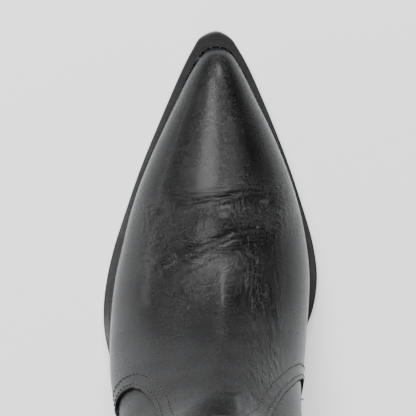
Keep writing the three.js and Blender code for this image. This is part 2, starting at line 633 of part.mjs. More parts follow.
function addSoles() {
  const outline = insetRows(soleEdge, 0, SOLE_END, SOLE_STEPS, 0);
  let outsole = solidOf(plate(outline, soleUnder, outsoleTop));
  pegPlaces().forEach(([x, d], i) => {
    const foot = soleUnder(d) + 0.4;
    const head = outsoleTop(d);
    outsole = outsole.subtract(solidOf(cylinder(x, d, foot - 6, head + 3, PEG_RADIUS + GAP, 6)));
    add(`peg_${i + 1}`, cylinder(x, d, foot, head - 0.4, PEG_RADIUS, 6), 'wood');
  });
  add('outsole', geometryFrom(outsole), 'sole');

  const layer = solidOf(plate(outline, weltUnder, weltTop));
  const hole = solidOf(plate(featherRows(WELT_LAP), (d) => weltUnder(d) - 5, (d) => weltTop(d) + 5));
  const ring = layer.subtract(hole);
  add('welt', geometryFrom(ring.intersect(box(-50, BREAST_TOP - GAP))), 'sole');
  add('heel_rand', geometryFrom(ring.intersect(box(BREAST_TOP, SOLE_LENGTH + 50))), 'sole');

  const filler = keep(featherRows(WELT_LAP + GAP), 0, SHANK_FRONT - 8);
  add('cork_filler', plate(filler, weltUnder, weltTop), 'cork');
  add('insole', plate(featherRows(UPPER_LEATHER + 3 * LAYER_GAP), insoleUnder, insoleTop), 'insole');
  const sockRows = featherRows(LAYERS_INSIDE + 3);
  add('sock_liner', plate(sockRows, (d) => insoleTop(d) + GAP, (d) => insoleTop(d) + GAP + SOCK_THICKNESS), 'lining');

  const shankHalf = 8;
  const shank = evenly(SHANK_FRONT, SHANK_BACK, 14).map((d) => [[shankHalf + 2, d], [2 - shankHalf, d]]);
  add('shank', plate(shank, weltUnder, weltTop), 'steel');
}

// ---- the heel ----
// Outline of the heel at a height share from 0 at the ground to 1 at the sole.
function heelRows(share, breast) {
  const half = lerp(29.5, 33.4, share) * ACROSS;
  const back = lerp(300, 313.4, share ** 0.85) * ALONG;
  const round = half * 0.95;
  const rows = evenly(breast, back - round, 3).map((d) => [half, d]);
  for (const angle of evenly(0, Math.PI / 2, 7).slice(1)) {
    rows.push([Math.max(1, half * Math.cos(angle) ** 0.9), back - round + round * Math.sin(angle) ** 0.95]);
  }
  return rows.map(([x, d]) => [[x + 0.7, d], [0.7 - x, d]]);
}

function taperedPlate(low, high, shareLow, shareHigh, breast) {
  const grid = (share, height) => heelRows(share, breast).map(([left, right]) => {
    return [new THREE.Vector3(...left, height(left[1])), new THREE.Vector3(...right, height(right[1]))];
  });
  return between(grid(shareHigh, high), grid(shareLow, low));
}

function nailPlaces() {
  const back = 281 * ALONG;
  return [0, 1, 2, 3, 4].map((i) => {
    const angle = lerp(-1, 1, i / 4) * Math.PI * 0.56;
    return [0.7 + 20 * ACROSS * Math.sin(angle), back + 11 * Math.cos(angle) * ALONG];
  });
}

function addHeel() {
  const breast = BREAST_TOP + 2;
  const holes = nailPlaces().map(([x, d]) => solidOf(cylinder(x, d, -5, HEEL_HEIGHT, NAIL_RADIUS + GAP, 6)));
  const drilled = (geometry) => {
    return geometryFrom(holes.reduce((solid, hole) => solid.subtract(hole), solidOf(geometry)));
  };
  const share = (z) => z / HEEL_HEIGHT;
  const top = TOP_PIECE_THICKNESS;
  add('rubber_top_piece', drilled(taperedPlate(() => 0, () => top, 0, share(top), breast)), 'rubber');
  const pitch = LIFT_THICKNESS + GAP;
  for (let i = 0; i < LIFT_COUNT; i += 1) {
    const low = top + GAP + i * pitch;
    const high = low + LIFT_THICKNESS;
    const lift = taperedPlate(() => low, () => high, share(low), share(high), breast);
    add(`heel_lift_${i + 1}`, drilled(lift), 'sole');
  }
  const wedgeLow = top + GAP + LIFT_COUNT * pitch;
  const wedge = taperedPlate(() => wedgeLow, (d) => soleUnder(d) - GAP, share(wedgeLow), 1, breast);
  add('wedge_lift', wedge, 'sole');
  nailPlaces().forEach(([x, d], i) => {
    const nail = cylinder(x, d, 1, top + 2 * pitch, NAIL_RADIUS, 6);
    add(`heel_nail_${i + 1}`, nail, 'brass');
  });
}

addVamp();
addToeLayers();
addHeelLayers();
addShaft();
addBinding();
addSideStrips();
addStrapLoops();
addSoles();
addHeel();

// The origin is the middle of the boot's box, on the ground.
const bounds = new THREE.Box3().setFromObject(boot);
const centre = bounds.getCenter(new THREE.Vector3());
boot.position.set(-centre.x, -centre.y, -bounds.min.z);

export default boot;
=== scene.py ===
# %% [markdown]
# # A black cowboy boot
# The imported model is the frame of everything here. It says where each panel, plate and strap lies.
# We only add the finer surface of the same pieces: it is laid by the same few rows of numbers, and
# its place is tied to the model's own boxes.

# %% Load the frame
import json
import math

import bmesh
import bpy
import numpy as np
from mathutils import Matrix, Vector

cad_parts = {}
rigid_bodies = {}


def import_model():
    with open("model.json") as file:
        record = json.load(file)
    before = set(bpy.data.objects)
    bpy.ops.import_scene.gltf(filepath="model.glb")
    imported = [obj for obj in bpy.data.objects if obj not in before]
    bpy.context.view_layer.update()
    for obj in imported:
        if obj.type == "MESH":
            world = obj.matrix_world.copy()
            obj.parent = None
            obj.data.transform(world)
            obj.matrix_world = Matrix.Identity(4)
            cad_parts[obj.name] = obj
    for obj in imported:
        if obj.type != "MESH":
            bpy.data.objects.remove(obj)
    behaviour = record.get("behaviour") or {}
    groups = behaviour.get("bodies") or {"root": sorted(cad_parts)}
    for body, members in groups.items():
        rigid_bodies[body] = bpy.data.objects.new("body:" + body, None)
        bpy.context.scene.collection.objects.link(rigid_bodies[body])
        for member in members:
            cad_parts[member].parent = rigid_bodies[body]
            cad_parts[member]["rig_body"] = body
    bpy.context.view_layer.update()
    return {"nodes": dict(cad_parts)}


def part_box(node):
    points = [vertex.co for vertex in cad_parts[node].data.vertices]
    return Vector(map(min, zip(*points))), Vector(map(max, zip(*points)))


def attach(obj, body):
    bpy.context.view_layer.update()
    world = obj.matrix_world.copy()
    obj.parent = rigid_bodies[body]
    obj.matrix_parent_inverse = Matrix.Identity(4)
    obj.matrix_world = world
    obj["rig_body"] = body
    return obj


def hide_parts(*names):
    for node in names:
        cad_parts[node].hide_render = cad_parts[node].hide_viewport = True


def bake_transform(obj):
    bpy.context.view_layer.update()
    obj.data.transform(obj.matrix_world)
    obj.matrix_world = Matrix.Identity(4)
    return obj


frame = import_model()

MM = 0.001

# %% [markdown]
# ## The shape that all the leather follows
# A bootmaker pulls every panel over one last. We do the same with numbers: a row of stations runs
# from the toe up to the top of the shaft, and each station is one closed section. A point of the
# boot is then a station k and a turn round the section: 0 at the ridge, and 1 at the feather edge of
# the forepart or at the back line of the leg. The outer side's turns are above 0, the inner side's below.

# %% Curves through rows of numbers
def ramp(x, start, end):
    t = np.clip((x - start) / (end - start), 0, 1)
    return t * t * (3 - 2 * t)


def mix(a, b, t):
    return a + (b - a) * t


def along(points, x):
    return np.interp(x, [p[0] for p in points], [p[1] for p in points])


def unit(vectors):
    return vectors / np.maximum(np.linalg.norm(vectors, axis=-1, keepdims=True), 1e-9)


MIRRORED, TURNED_OVER = 1, -1


def smooth(values, k, start):
    """A Catmull-Rom curve through the values, mirrored or turned over before the first."""
    row = np.concatenate([[start * values[1]], values, [2 * values[-1] - values[-2]]])
    i = np.clip(np.floor(k).astype(int), 0, len(values) - 2)
    a, b, c, d = (row[i + j] for j in range(4))
    t = k - i
    return b + 0.5 * t * (c - a + t * (2 * a - 5 * b + 4 * c - d + t * (3 * (b - c) + d - a)))


# %% The sole seen from the side
# Distances d run back from the tip of the sole, in millimetres.
TREAD_FRONT, TREAD_BACK, SEAT_BACK = 90, 137, 312
TOE_SPRING, HEEL_HEIGHT = 12, 39.5
OUTSOLE, WELT, INSOLE, GAP = 5, 3.2, 3, 0.3


def sole_under(d):
    d = np.asarray(d, float)
    toe = TOE_SPRING * (np.maximum(TREAD_FRONT - d, 0) / TREAD_FRONT) ** 2
    s = np.maximum(0, (d - TREAD_BACK) / (SEAT_BACK - TREAD_BACK))
    return toe + HEEL_HEIGHT * (0.94 * ramp(s, 0, 0.72) + 0.06 * np.minimum(s, 1))


def outsole_top(d):
    return sole_under(d) + OUTSOLE


def welt_under(d):
    return outsole_top(d) + GAP


def welt_top(d):
    return welt_under(d) + WELT


def insole_under(d):
    return welt_top(d) + GAP


# %% The stations of the upper
# Ridge distance and rise, back distance and rise, half width, sideways place, where it is widest,
# how round the ridge is, and the share of the width that is left at the feather edge.
STATIONS = np.array([
    [8, 0, 8, 0, 0, -4.6, 0.66, 2.1, 0.93], [9.4, 8, 9.2, 0, 4.8, -4.6, 0.66, 2.1, 0.93],
    [14, 14, 13, 0, 9, -4.5, 0.66, 2.1, 0.93], [23, 20, 22, 0, 14.2, -4.2, 0.66, 2.05, 0.93],
    [35, 25, 34, 0, 20, -4, 0.67, 2, 0.93], [49, 30, 49, 0, 27, -3.8, 0.68, 2, 0.93],
    [64, 35, 64, 0, 33.6, -3.4, 0.7, 2, 0.94], [79, 39.5, 79, 0, 39.3, -3, 0.71, 2, 0.95],
    [95, 44, 95, 0, 43.9, -2.6, 0.72, 1.95, 0.96], [110, 48.5, 110, 0, 47, -2, 0.72, 1.9, 0.97],
    [124, 53.5, 125, 0, 49.2, -0.8, 0.71, 1.85, 0.97], [136, 58, 142, 0, 49.8, 0.8, 0.68, 1.8, 0.97],
    [147.5, 61.5, 164, 0, 49.2, 2.6, 0.62, 1.8, 0.91], [158, 61, 190, 0, 48, 3.6, 0.54, 1.85, 0.76],
    [167, 58.5, 218, 0, 46.4, 2.8, 0.47, 1.9, 0.68], [174, 58, 248, 0, 45, 1.6, 0.44, 1.95, 0.7],
    [179, 65, 278, 0, 44, 0.7, 0.44, 2, 0.72], [182.5, 74, 301, 0, 43, 0.4, 0.45, 2, 0.5],
    [184.5, 84, 312, 0, 42.5, 0.2, 0.46, 2, 0], [186, 96, 314.5, 13, 42.2, 0, 0.47, 2, 0],
    [186.5, 110, 313.5, 32, 42, 0, 0.48, 2, 0], [186, 129, 309, 55, 42.2, 0, 0.49, 2, 0],
    [184.5, 152, 305.5, 84, 42.8, 0, 0.5, 2, 0], [182, 180, 305, 122, 44, 0, 0.5, 2, 0],
    [178, 214, 308.5, 168, 45.8, 0, 0.5, 2, 0], [173.5, 250, 314, 222, 47.4, 0, 0.5, 2, 0],
    [170, 282, 319, 270, 48.6, 0, 0.5, 2, 0], [168, 305, 322, 305, 49.2, 0, 0.5, 2, 0],
])
(RIDGE_D, RIDGE_RISE, BACK_D, BACK_RISE, HALF_WIDTH, SIDEWAYS, WIDEST_AT, RIDGE_ROUNDNESS,
 FEATHER_SHARE) = STATIONS.T
TOP = len(STATIONS) - 1
HEEL_CORNER = 18  # from this station up, the section is closed at the back
RIDGE_LEAN = [(0, 0), (4, -1), (9, -4), (12, -7.5), (15, -6), (18, -2), (22, 0), (27, 0)]
BACK_ROUNDNESS = [(0, 2), (12, 2), (13.5, 1.25), (17, 1.3), (18.5, 1.9), (20, 2), (27, 2)]


def wrapped(turn):
    """A turn past the back line comes round on the other side."""
    return np.where(np.abs(turn) > 1, turn - 2 * np.round(turn / 2), turn)


def skin(k, turn):
    """Point of the boot's outside, in millimetres from the tip of the sole."""
    k, turn = np.broadcast_arrays(np.asarray(k, float), np.asarray(turn, float))
    turn = wrapped(turn)
    back_d = smooth(BACK_D, k, MIRRORED)
    lift = insole_under(np.minimum(back_d, SEAT_BACK))
    ridge_d = smooth(RIDGE_D, k, MIRRORED)
    ridge_z = lift + smooth(RIDGE_RISE, k, TURNED_OVER)
    back_z = lift + np.maximum(0, smooth(BACK_RISE, k, MIRRORED))
    half = smooth(HALF_WIDTH, k, TURNED_OVER)
    middle = smooth(SIDEWAYS, k, MIRRORED)
    widest = smooth(WIDEST_AT, k, MIRRORED)
    ridge = smooth(RIDGE_ROUNDNESS, k, MIRRORED)
    feather = np.where(k < HEEL_CORNER, np.maximum(0, smooth(FEATHER_SHARE, k, MIRRORED)), 0)
    belly = along(BACK_ROUNDNESS, k)
    angle = np.abs(turn) * np.pi
    rise, fall = np.maximum(0, np.sin(angle)), np.cos(angle)
    behind = angle > np.pi / 2
    share = np.where(behind, widest + (1 - widest) * np.maximum(0, -fall) ** (2 / belly),
                     widest * (1 - np.maximum(0, fall) ** (2 / ridge)))
    width = np.where(behind, feather + (1 - feather) * rise ** (2 / belly), rise ** (2 / ridge))
    side = np.where(turn < 0, -1, 1)
    x = middle + along(RIDGE_LEAN, k) * (1 - share) ** 2 + side * half * width
    return np.stack([x, mix(ridge_d, back_d, share), mix(ridge_z, back_z, share)], -1)


# %% Points under the outside
STEP = 0.012  # how far in station or turn the neighbours lie that give a surface's direction
HALVINGS = 14


def inward(k, turn):
    """Unit direction into the boot."""
    k, turn = np.broadcast_arrays(np.asarray(k, float), np.asarray(turn, float))
    place = wrapped(turn)
    is_open = k < HEEL_CORNER
    low = np.where(is_open, np.maximum(place - STEP, -1), place - STEP)
    high = np.where(is_open, np.minimum(place + STEP, 1), place + STEP)
    round_it = skin(k, high) - skin(k, low)
    forward = skin(k + STEP, turn) - skin(np.maximum(k - STEP, 0), turn)
    return unit(np.cross(forward, round_it))


def under(k, turn, depth):
    """Point at a depth under the outside. A negative depth stands proud of it."""
    return skin(k, turn) + inward(k, turn) * np.asarray(depth, float)[..., None]


def resting_turn(k, depth, thickness, height):
    """Largest turn at which a layer still stands a height above the underside of the insole."""
    def clear(turn):
        points = [under(k, turn, np.full_like(k, d)) for d in (depth, depth + thickness)]
        floors = [insole_under(np.minimum(p[..., 1], SEAT_BACK)) + height for p in points]
        return np.all([p[..., 2] > f for p, f in zip(points, floors)], axis=0)
    standing, sunk = np.full_like(k, 0.5), np.ones_like(k)
    for _ in range(HALVINGS):
        middle = (standing + sunk) / 2
        good = clear(middle)
        standing, sunk = np.where(good, middle, standing), np.where(good, sunk, middle)
    return np.where(clear(np.ones_like(k)), 1, standing)


# %% Put the shape in the frame
# The vamp's foremost point and its two widest ones tie the last to the model.
VAMP_START = 0.06  # the vamp begins a hair behind the first station, which is a single point
vamp_low, vamp_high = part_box("vamp")
toe_d = skin(VAMP_START, np.linspace(-1, 1, 41))[:, 1].min()
ball_x = skin(*np.meshgrid(np.linspace(8, 13, 41), np.linspace(-1, 1, 81)))[..., 0]
SHIFT = np.array([(vamp_low.x + vamp_high.x) / 2 / MM - (ball_x.min() + ball_x.max()) / 2,
                  vamp_low.y / MM - toe_d, 0])


def in_frame(points):
    return (points + SHIFT) * MM


print("the last is shifted by", SHIFT.round(2), "mm")

# %% [markdown]
# ## Leather panels
# A panel is cut flat and pulled over the last, so it is one sheet. A grid is the natural start: its
# own flat coordinates become station and turn, Solidify then gives the leather its thickness, and a
# small bevel takes the sharpness off the cut edge.

# %% Material slots that are filled in later
def finish_slot(name):
    return bpy.data.materials.get(name) or bpy.data.materials.new(name)


def add_piece(name, bm, material, body, nodes):
    """A bmesh becomes an object at the origin, which rides on a body and stands for its CAD nodes."""
    mesh = bpy.data.meshes.new(name)
    bm.to_mesh(mesh)
    bm.free()
    mesh.shade_smooth()
    mesh.materials.append(finish_slot(material))
    piece = bpy.data.objects.new(name, mesh)
    bpy.context.scene.collection.objects.link(piece)
    if body:
        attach(piece, body)
    if nodes:
        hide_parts(*nodes)
    return piece


CUT_ANGLE = 50  # degrees: an edge sharper than this is a cut edge


def thicken(piece, thickness, round_edge=0.00035):
    """Leather of a thickness under the modelled face, with its cut edges rounded. Sizes in metres."""
    wall = piece.modifiers.new("leather", "SOLIDIFY")
    wall.thickness = thickness
    wall.offset = -1
    edge = piece.modifiers.new("cut edge", "BEVEL")
    edge.width = round_edge
    edge.segments = 2
    edge.limit_method = "ANGLE"
    edge.angle_limit = math.radians(CUT_ANGLE)


# %% A sheet over the last
def flat_grid(columns, rows):
    """A grid, with the u (-1 to 1) and the v (0 to 1) of each of its points."""
    bm = bmesh.new()
    bmesh.ops.create_grid(bm, x_segments=columns, y_segments=rows, size=1)
    flat = np.array([v.co[:] for v in bm.verts])
    return bm, flat[:, 0], (flat[:, 1] + 1) / 2


def move_to(bm, points, merge=None):
    """Moves the grid's points, merges those nearer than a distance, and makes its faces agree."""
    for vert, point in zip(bm.verts, in_frame(points)):
        vert.co = point
    if merge:
        bmesh.ops.remove_doubles(bm, verts=bm.verts, dist=merge)
    bmesh.ops.recalc_face_normals(bm, faces=bm.faces)
    bm.normal_update()


def grid_over(place, columns, rows, depth, relief=None):
    """A sheet that place(u, v) lays over the last, at a depth, with an optional relief pressed in."""
    bm, u, v = flat_grid(columns, rows)
    k, turn = place(u, v)
    into = inward(k, turn)
    points = under(k, turn, depth(k, turn))
    if relief:
        points = points + into * relief(points + SHIFT, k, turn)[:, None]
    move_to(bm, points)
    if sum(vert.normal.dot(Vector(into_boot)) for vert, into_boot in zip(bm.verts, into)) > 0:
        bmesh.ops.reverse_faces(bm, faces=bm.faces)
    return bm


LEATHER, LINING, BINDING, LAYER_GAP = 1.8, 1.0, 1.2, 0.5
SHAFT_DEPTH = LEATHER + LAYER_GAP
SKIVED = 1.2  # what is left of the vamp and the counter cover where they are pared to lap the shaft


def flat_depth(depth):
    return lambda k, turn: np.full_like(k, depth)


# %% Where the vamp ends
# Station against turn on the outer and the inner side: the tongue in the middle, a notch beside it,
# then the wing.
VAMP_EDGE_OUTER = [
    (0, 20.6), (0.05, 20.45), (0.09, 20.1), (0.13, 19.4), (0.165, 18.6), (0.21, 17), (0.243, 15.2),
    (0.262, 14.6), (0.29, 14.1), (0.33, 13.8), (0.38, 13.72), (0.44, 13.74), (0.52, 13.9), (0.6, 14.2),
    (0.68, 14.75), (0.74, 15.2), (0.86, 15.3), (1, 15.32),
]
VAMP_EDGE_INNER = [
    (0, 20.6), (0.05, 20.43), (0.09, 20.05), (0.12, 19.3), (0.145, 18.4), (0.185, 16.7), (0.205, 15.7),
    (0.23, 15), (0.26, 14.45), (0.3, 14), (0.35, 13.55), (0.42, 13.2), (0.5, 13.1), (0.57, 13.3),
    (0.64, 13.95), (0.7, 14.8), (0.86, 15.3), (1, 15.32),
]


def vamp_edge(turn):
    return np.where(turn < 0, along(VAMP_EDGE_INNER, -turn), along(VAMP_EDGE_OUTER, turn))


# %% Creases where the boot bends at the toes
# Each crease is a line over the vamp from above: depth and width, then x and y of its points in mm.
CREASES = [
    (0.55, 0.9, [(33, -56), (31, -60), (26, -66), (23, -70), (16, -71), (10, -71.5)]),
    (0.75, 1.0, [(14, -70), (10, -71.5), (4, -72.5), (-7, -75), (-15.5, -77), (-19, -76)]),
    (0.35, 0.8, [(12, -67), (4, -69), (-6, -71), (-14, -72)]),
    (0.3, 0.7, [(-18, -73), (-27, -71.5), (-36, -70)]),
    (0.6, 0.9, [(30, -36), (24.6, -40.2), (17, -45.5), (8.9, -49.3), (-0.7, -54.1)]),
    (0.65, 0.9, [(6, -50), (-0.7, -54.1), (-13.2, -57), (-25.1, -58.4), (-31, -58)]),
    (0.45, 0.8, [(23.2, -37.8), (11.2, -44.5), (-0.7, -50.8), (-13.2, -54.3), (-28.9, -55.1)]),
    (0.3, 0.7, [(20, -33), (12, -38), (3, -43), (-6, -48)]),
    (0.35, 0.8, [(-13.2, -51.3), (-20, -45), (-25.1, -39.3)]),
    (0.25, 0.7, [(-18, -53), (-25, -47), (-30, -42)]),
    (0.3, 0.8, [(-12, -36.8), (-20, -37.3), (-29, -36.8)]),
    (0.4, 1.0, [(-17.7, -33.7), (-21, -15), (-24.5, 6.4)]),
    (0.3, 0.9, [(-22, -32), (-26, -14), (-29, 5)]),
    (0.25, 0.9, [(-27, -28), (-31, -12), (-33, 4)]),
    (0.45, 1.2, [(-2.6, 17.6), (-9, 18.2), (-15.8, 17.6)]),
    (0.4, 1.0, [(-16, 15), (-19, 20), (-21.5, 25.5)]),
]
# Soft raised places: height, width, points. A height below 0 is a hollow.
RIDGES = [
    (1.0, 6.5, [(-2, -42), (-6, -24), (-5.8, 0.8), (0, 12), (8, 22)]),
    (0.55, 4.5, [(-18, -64), (-6, -63), (5, -62), (12, -60)]),
    (0.45, 4.5, [(24, -53), (14, -56), (2, -60)]),
    (0.5, 4.5, [(-14, 24), (-4, 25)]),
    (-0.8, 9, [(16, -34), (20, -10), (22, 14)]),
    (-0.7, 7, [(-19, -30), (-22, -8)]),
]
CREASE_DEPTH = 1.45  # all creases together
LIP_HEIGHT, LIP_PLACE, LIP_WIDTH = 0.3, 2.3, 1.2  # a crease's raised lips, in its own depth and width
END_FADE = 0.3  # share of a line over which it fades at either end
WORN_UP_TO, WHOLE_FROM = 0.34, 0.46  # turns between which the wear stops


def distance_to(path, x, y):
    """Distance from points to a broken line, and a strength that fades out at the line's two ends."""
    best = np.full(x.shape, 1e9)
    place = np.zeros(x.shape)
    start = 0
    for (x0, y0), (x1, y1) in zip(path, path[1:]):
        length = np.hypot(x1 - x0, y1 - y0)
        t = np.clip(((x - x0) * (x1 - x0) + (y - y0) * (y1 - y0)) / length ** 2, 0, 1)
        far = np.hypot(x - mix(x0, x1, t), y - mix(y0, y1, t))
        place = np.where(far < best, start + t * length, place)
        best = np.minimum(best, far)
        start += length
    return best, ramp(np.minimum(place, start - place), 0, END_FADE * start)


def wander(points, reach, seed):
    """A smooth, slow field of about -1 to 1, so that no line stays ruler straight."""
    shift = np.array([1.7, 9.2, 4.1]) * seed
    a, b, c = ((points + shift) / reach).T
    return (np.sin(a + 1.3 * np.sin(b)) + np.sin(b * 1.1 + 1.7 * np.sin(c + a)) + np.sin(c * 0.9 - a)) / 3


def worn(points, k, turn):
    """How far the vamp's surface lies inside the last, in millimetres."""
    x = points[:, 0] + 0.9 * wander(points, 7, 1)
    y = points[:, 1] + 0.8 * wander(points, 5, 2)
    broken = 0.65 + 0.5 * wander(points, 6, 9)
    deep = np.zeros(len(x))
    for depth, width, path in CREASES:
        far, strength = distance_to(path, x, y)
        lips = LIP_HEIGHT * np.exp(-((far - LIP_PLACE * width) / (LIP_WIDTH * width)) ** 2)
        deep += CREASE_DEPTH * depth * strength * broken * (np.exp(-(far / width) ** 2) - lips)
    for height, width, path in RIDGES:
        far, strength = distance_to(path, x, y)
        deep -= height * strength * np.exp(-(far / width) ** 2)
    top = 1 - ramp(np.abs(turn), WORN_UP_TO, WHOLE_FROM)
    return deep * top + 0.16 * wander(points, 17, 5)


# %% Lay out the vamp
VAMP_CLEARANCE = 0.45


def vamp_place(u, v):
    k = mix(VAMP_START, vamp_edge(u), v ** 1.1)
    return k, np.sign(u) * np.minimum(np.abs(u), resting_turn(k, 0, LEATHER, VAMP_CLEARANCE))


def spread(u, v):
    """Columns and rows stand closer over the toe break, where the creases are."""
    columns = [(0, 0), (0.35, 0.15), (0.66, 0.36), (1, 1)]
    rows = [(0, 0), (0.13, 0.3), (0.75, 0.74), (1, 1)]
    return np.sign(u) * along(columns, np.abs(u)), along(rows, v)


# %% Masks for the finish: cross wrinkles, lengthwise wrinkles, and a pebbled grain
def band(x, y, place, slope, reach):
    """A soft band across the vamp. A slope tilts it."""
    return np.exp(-((y - place - slope * x) / reach) ** 2)


def patch(x, y, middle, reach):
    """A soft oval patch."""
    return np.exp(-((x - middle[0]) / reach[0]) ** 2 - ((y - middle[1]) / reach[1]) ** 2)


def mark_flexing(piece):
    """Writes the masks as attributes that the vamp's finish reads."""
    co = np.array([v.co[:] for v in piece.data.vertices]) / MM
    x, y = co[:, 0], co[:, 1]
    masks = {
        "cross": band(x, y, -74, 0.14, 4.5) + band(x, y, -51, 0.33, 7)
                 + 0.6 * patch(x, y, (-8, -26), (9, 14)),
        "length": patch(x, y, (-24, -8), (9, 34)) + 0.7 * band(x, y, -62, 0, 8),
        "pebble": 0.9 * band(x, y, -60, 0.1, 9) + 0.8 * patch(x, y, (17, -21), (9, 13)),
    }
    top = 1 - ramp(np.abs(x + 3), 30, 42)
    drift = 0.35 * wander(co, 9, 12)
    for name, value in masks.items():
        layer = piece.data.attributes.new(name, "FLOAT", "POINT")
        layer.data.foreach_set("value", np.clip(value * top * (1 + drift), 0, 1.2).astype(np.float32))


# %% The vamp
vamp_sheet = grid_over(lambda u, v: vamp_place(*spread(u, v)), 168, 226, flat_depth(0), worn)
vamp = add_piece("vamp_leather", vamp_sheet, "vamp leather", "boot", ["vamp"])
mark_flexing(vamp)
thicken(vamp, SKIVED * MM)
print("vamp:", len(vamp.data.polygons), "faces before it is thickened")

# %% [markdown]
# ## Counter cover and shaft
# The counter cover wraps the heel from one wing of the vamp to the other. The shaft is a front and
# a back half, sewn together down the sides. They are made as the vamp is, with only another place().

# %% The seams of the shaft
LINING_STEP = LEATHER + LAYER_GAP
CLOSE_UNDER = 0.3  # the gap under a pared edge
SHAFT_START, LINING_SPLIT, SCALLOP_DIP = 12.6, 12.5, 1.3
SHAFT_BACK_START = [(0, 15.2), (0.25, 15.6), (0.5, 16.6), (0.75, 18.1), (1, 19.8)]
COUNTER_TOP_STATION = [(0, 15.45), (0.2, 16.6), (0.4, 17.9), (0.6, 19.2), (0.8, 20.5), (1, 21.3)]
COUNTER_TOP_TURN = [(0, 0.72), (0.2, 0.66), (0.4, 0.64), (0.6, 0.69), (0.8, 0.81), (1, 1)]
COUNTER_START = 15.42
SEAM_GAP = 0.003  # in turns, half of what parts the shaft's two halves


def top_edge(turn):
    return TOP - SCALLOP_DIP * np.abs(np.cos(turn * np.pi)) ** 1.6


def seam_turn(k):
    return mix(0.74, 0.5, ramp(k, 14.6, 18.6))


def under_lap(k):
    return LAYER_GAP * (1.6 - 1.5 * ramp(k, 19, 21.5))


def shaft_depth(k):
    """The shaft comes up close under the pared edges of the vamp and the counter cover."""
    return mix(SKIVED + CLOSE_UNDER, SHAFT_DEPTH + under_lap(k), ramp(k, 20.7, 22.5))


def lining_depth(k):
    return SHAFT_DEPTH + LINING_STEP * (1 - ramp(k, 4.6, 6) + ramp(k, 11.2, 12.2))


def front_place(u, v):
    k = mix(SHAFT_START, top_edge(u / 2), v)
    return k, u * (seam_turn(k) - SEAM_GAP)


def back_place(u, v):
    back = 1 - np.abs(u)
    k = mix(along(SHAFT_BACK_START, back), top_edge(mix(0.5, 1, back)), v)
    turn = mix(seam_turn(k) + SEAM_GAP, 1, back)
    return k, np.where(u > 0, 2 - turn, turn)


def on_its_side(u, back, turn):
    """The turn on the side of u, and exactly 1 on the back line."""
    return np.where(u < 0, -1, 1) * np.where(back == 1, 1, turn)


def counter_place(u, v):
    back = 1 - np.abs(u)
    bottom = mix(COUNTER_START, HEEL_CORNER + 0.05, back)
    k = mix(bottom, along(COUNTER_TOP_STATION, back), v)
    return k, on_its_side(u, back, mix(1, along(COUNTER_TOP_TURN, back), v))


# %% Soft folds of the leg
# How far a fold goes in, its height above the ground, its slope to the back, and its reach, in mm.
ANKLE_FOLDS = [(1.1, 112, 0.12, 7), (-0.4, 127, 0, 8), (0.6, 146, -0.1, 9)]
SLACKNESS = 0.8


def slack(points, k, turn):
    """The leg leather stands in slow waves, with a few soft folds above the ankle."""
    waves = 0.5 * wander(points, 46, 6) + 0.12 * wander(points, 15, 7)
    for strength, height, slope, reach in ANKLE_FOLDS:
        from_fold = points[:, 2] - height - slope * points[:, 1]
        waves = waves + strength * np.exp(-(from_fold / reach) ** 2)
    held = ramp(TOP - 0.3 - k, 0, 2) * ramp(k, 14, 17)
    return waves * SLACKNESS * held


def counter_wear(points, k, turn):
    return 0.14 * wander(points, 16, 8)


# %% Counter cover, shaft and their linings
PIGSKIN = ("pigskin lining", "lining_leather", LINING)


def leather_panel(name, place, columns, rows, depth, relief, nodes, material="boot leather",
                  slot="upper_leather", thickness=LEATHER):
    """One panel from its place on the last to its cut edges."""
    piece = add_piece(name, grid_over(place, columns, rows, depth, relief), material, "boot", nodes)
    thicken(piece, thickness * MM, 0.0003)
    print(name + ":", len(piece.data.polygons), "faces")
    return piece


leather_panel("counter_leather", counter_place, 120, 56, flat_depth(0), counter_wear, ["counter_cover"],
              thickness=SKIVED)
for half, place in (("front", front_place), ("back", back_place)):
    leather_panel("shaft_leather_" + half, place, 110, 110, lambda k, turn: shaft_depth(k), slack,
                  ["shaft_" + half])
    leather_panel("shaft_inside_" + half, place, 60, 60, lambda k, turn: lining_depth(k) + under_lap(k),
                  slack, ["shaft_lining_" + half], *PIGSKIN)

# %% Linings of the foot
VAMP_LINING_START = 0.9
HEEL_LINING_LOWEST = 7.0  # depth at which the heel lining's foot is tried against the insole


def vamp_lining_place(u, v):
    k = mix(VAMP_LINING_START, LINING_SPLIT - 0.04, v)
    tried = np.linspace(VAMP_LINING_START, LINING_SPLIT, 60)
    feet = [resting_turn(np.array([x]), lining_depth(x), LINING, INSOLE + GAP)[0] for x in tried]
    return k, u * np.interp(k, tried, feet)


def heel_top(back):
    station = [(0, 12.55), (0.4, 15.05), (0.55, 15.5), (0.7, 16.5), (0.85, 18), (1, 19.66)]
    turn = [(0, 0.77), (0.4, 0.77), (0.55, 0.8), (0.7, 0.86), (0.85, 0.93), (1, 1)]
    return along(station, back), along(turn, back)


def heel_lining_depth(k):
    return lining_depth(k) + 4 * LAYER_GAP * ramp(k, 14, 16)


def heel_lining_place(u, v):
    back = 1 - np.abs(u)
    bottom = mix(LINING_SPLIT, HEEL_CORNER + 0.5, back)
    high_k, high_turn = heel_top(back)
    foot = resting_turn(bottom, HEEL_LINING_LOWEST, LINING, INSOLE + GAP)
    return mix(bottom, high_k, v), on_its_side(u, back, mix(foot, high_turn, v))


leather_panel("vamp_inside", vamp_lining_place, 50, 60, lambda k, turn: lining_depth(k), None,
              ["vamp_lining"], *PIGSKIN)
leather_panel("heel_inside", heel_lining_place, 60, 30, lambda k, turn: heel_lining_depth(k), None,
              ["heel_lining"], *PIGSKIN)

# %% [markdown]
# ## Collar binding and side piping
# The binding is a strip folded over the raw top edge, so its section is a narrow U. It is a grid
# whose rows run down the outside, over the top and down the inside. The piping is a rounded strip
# that hides the side seam.

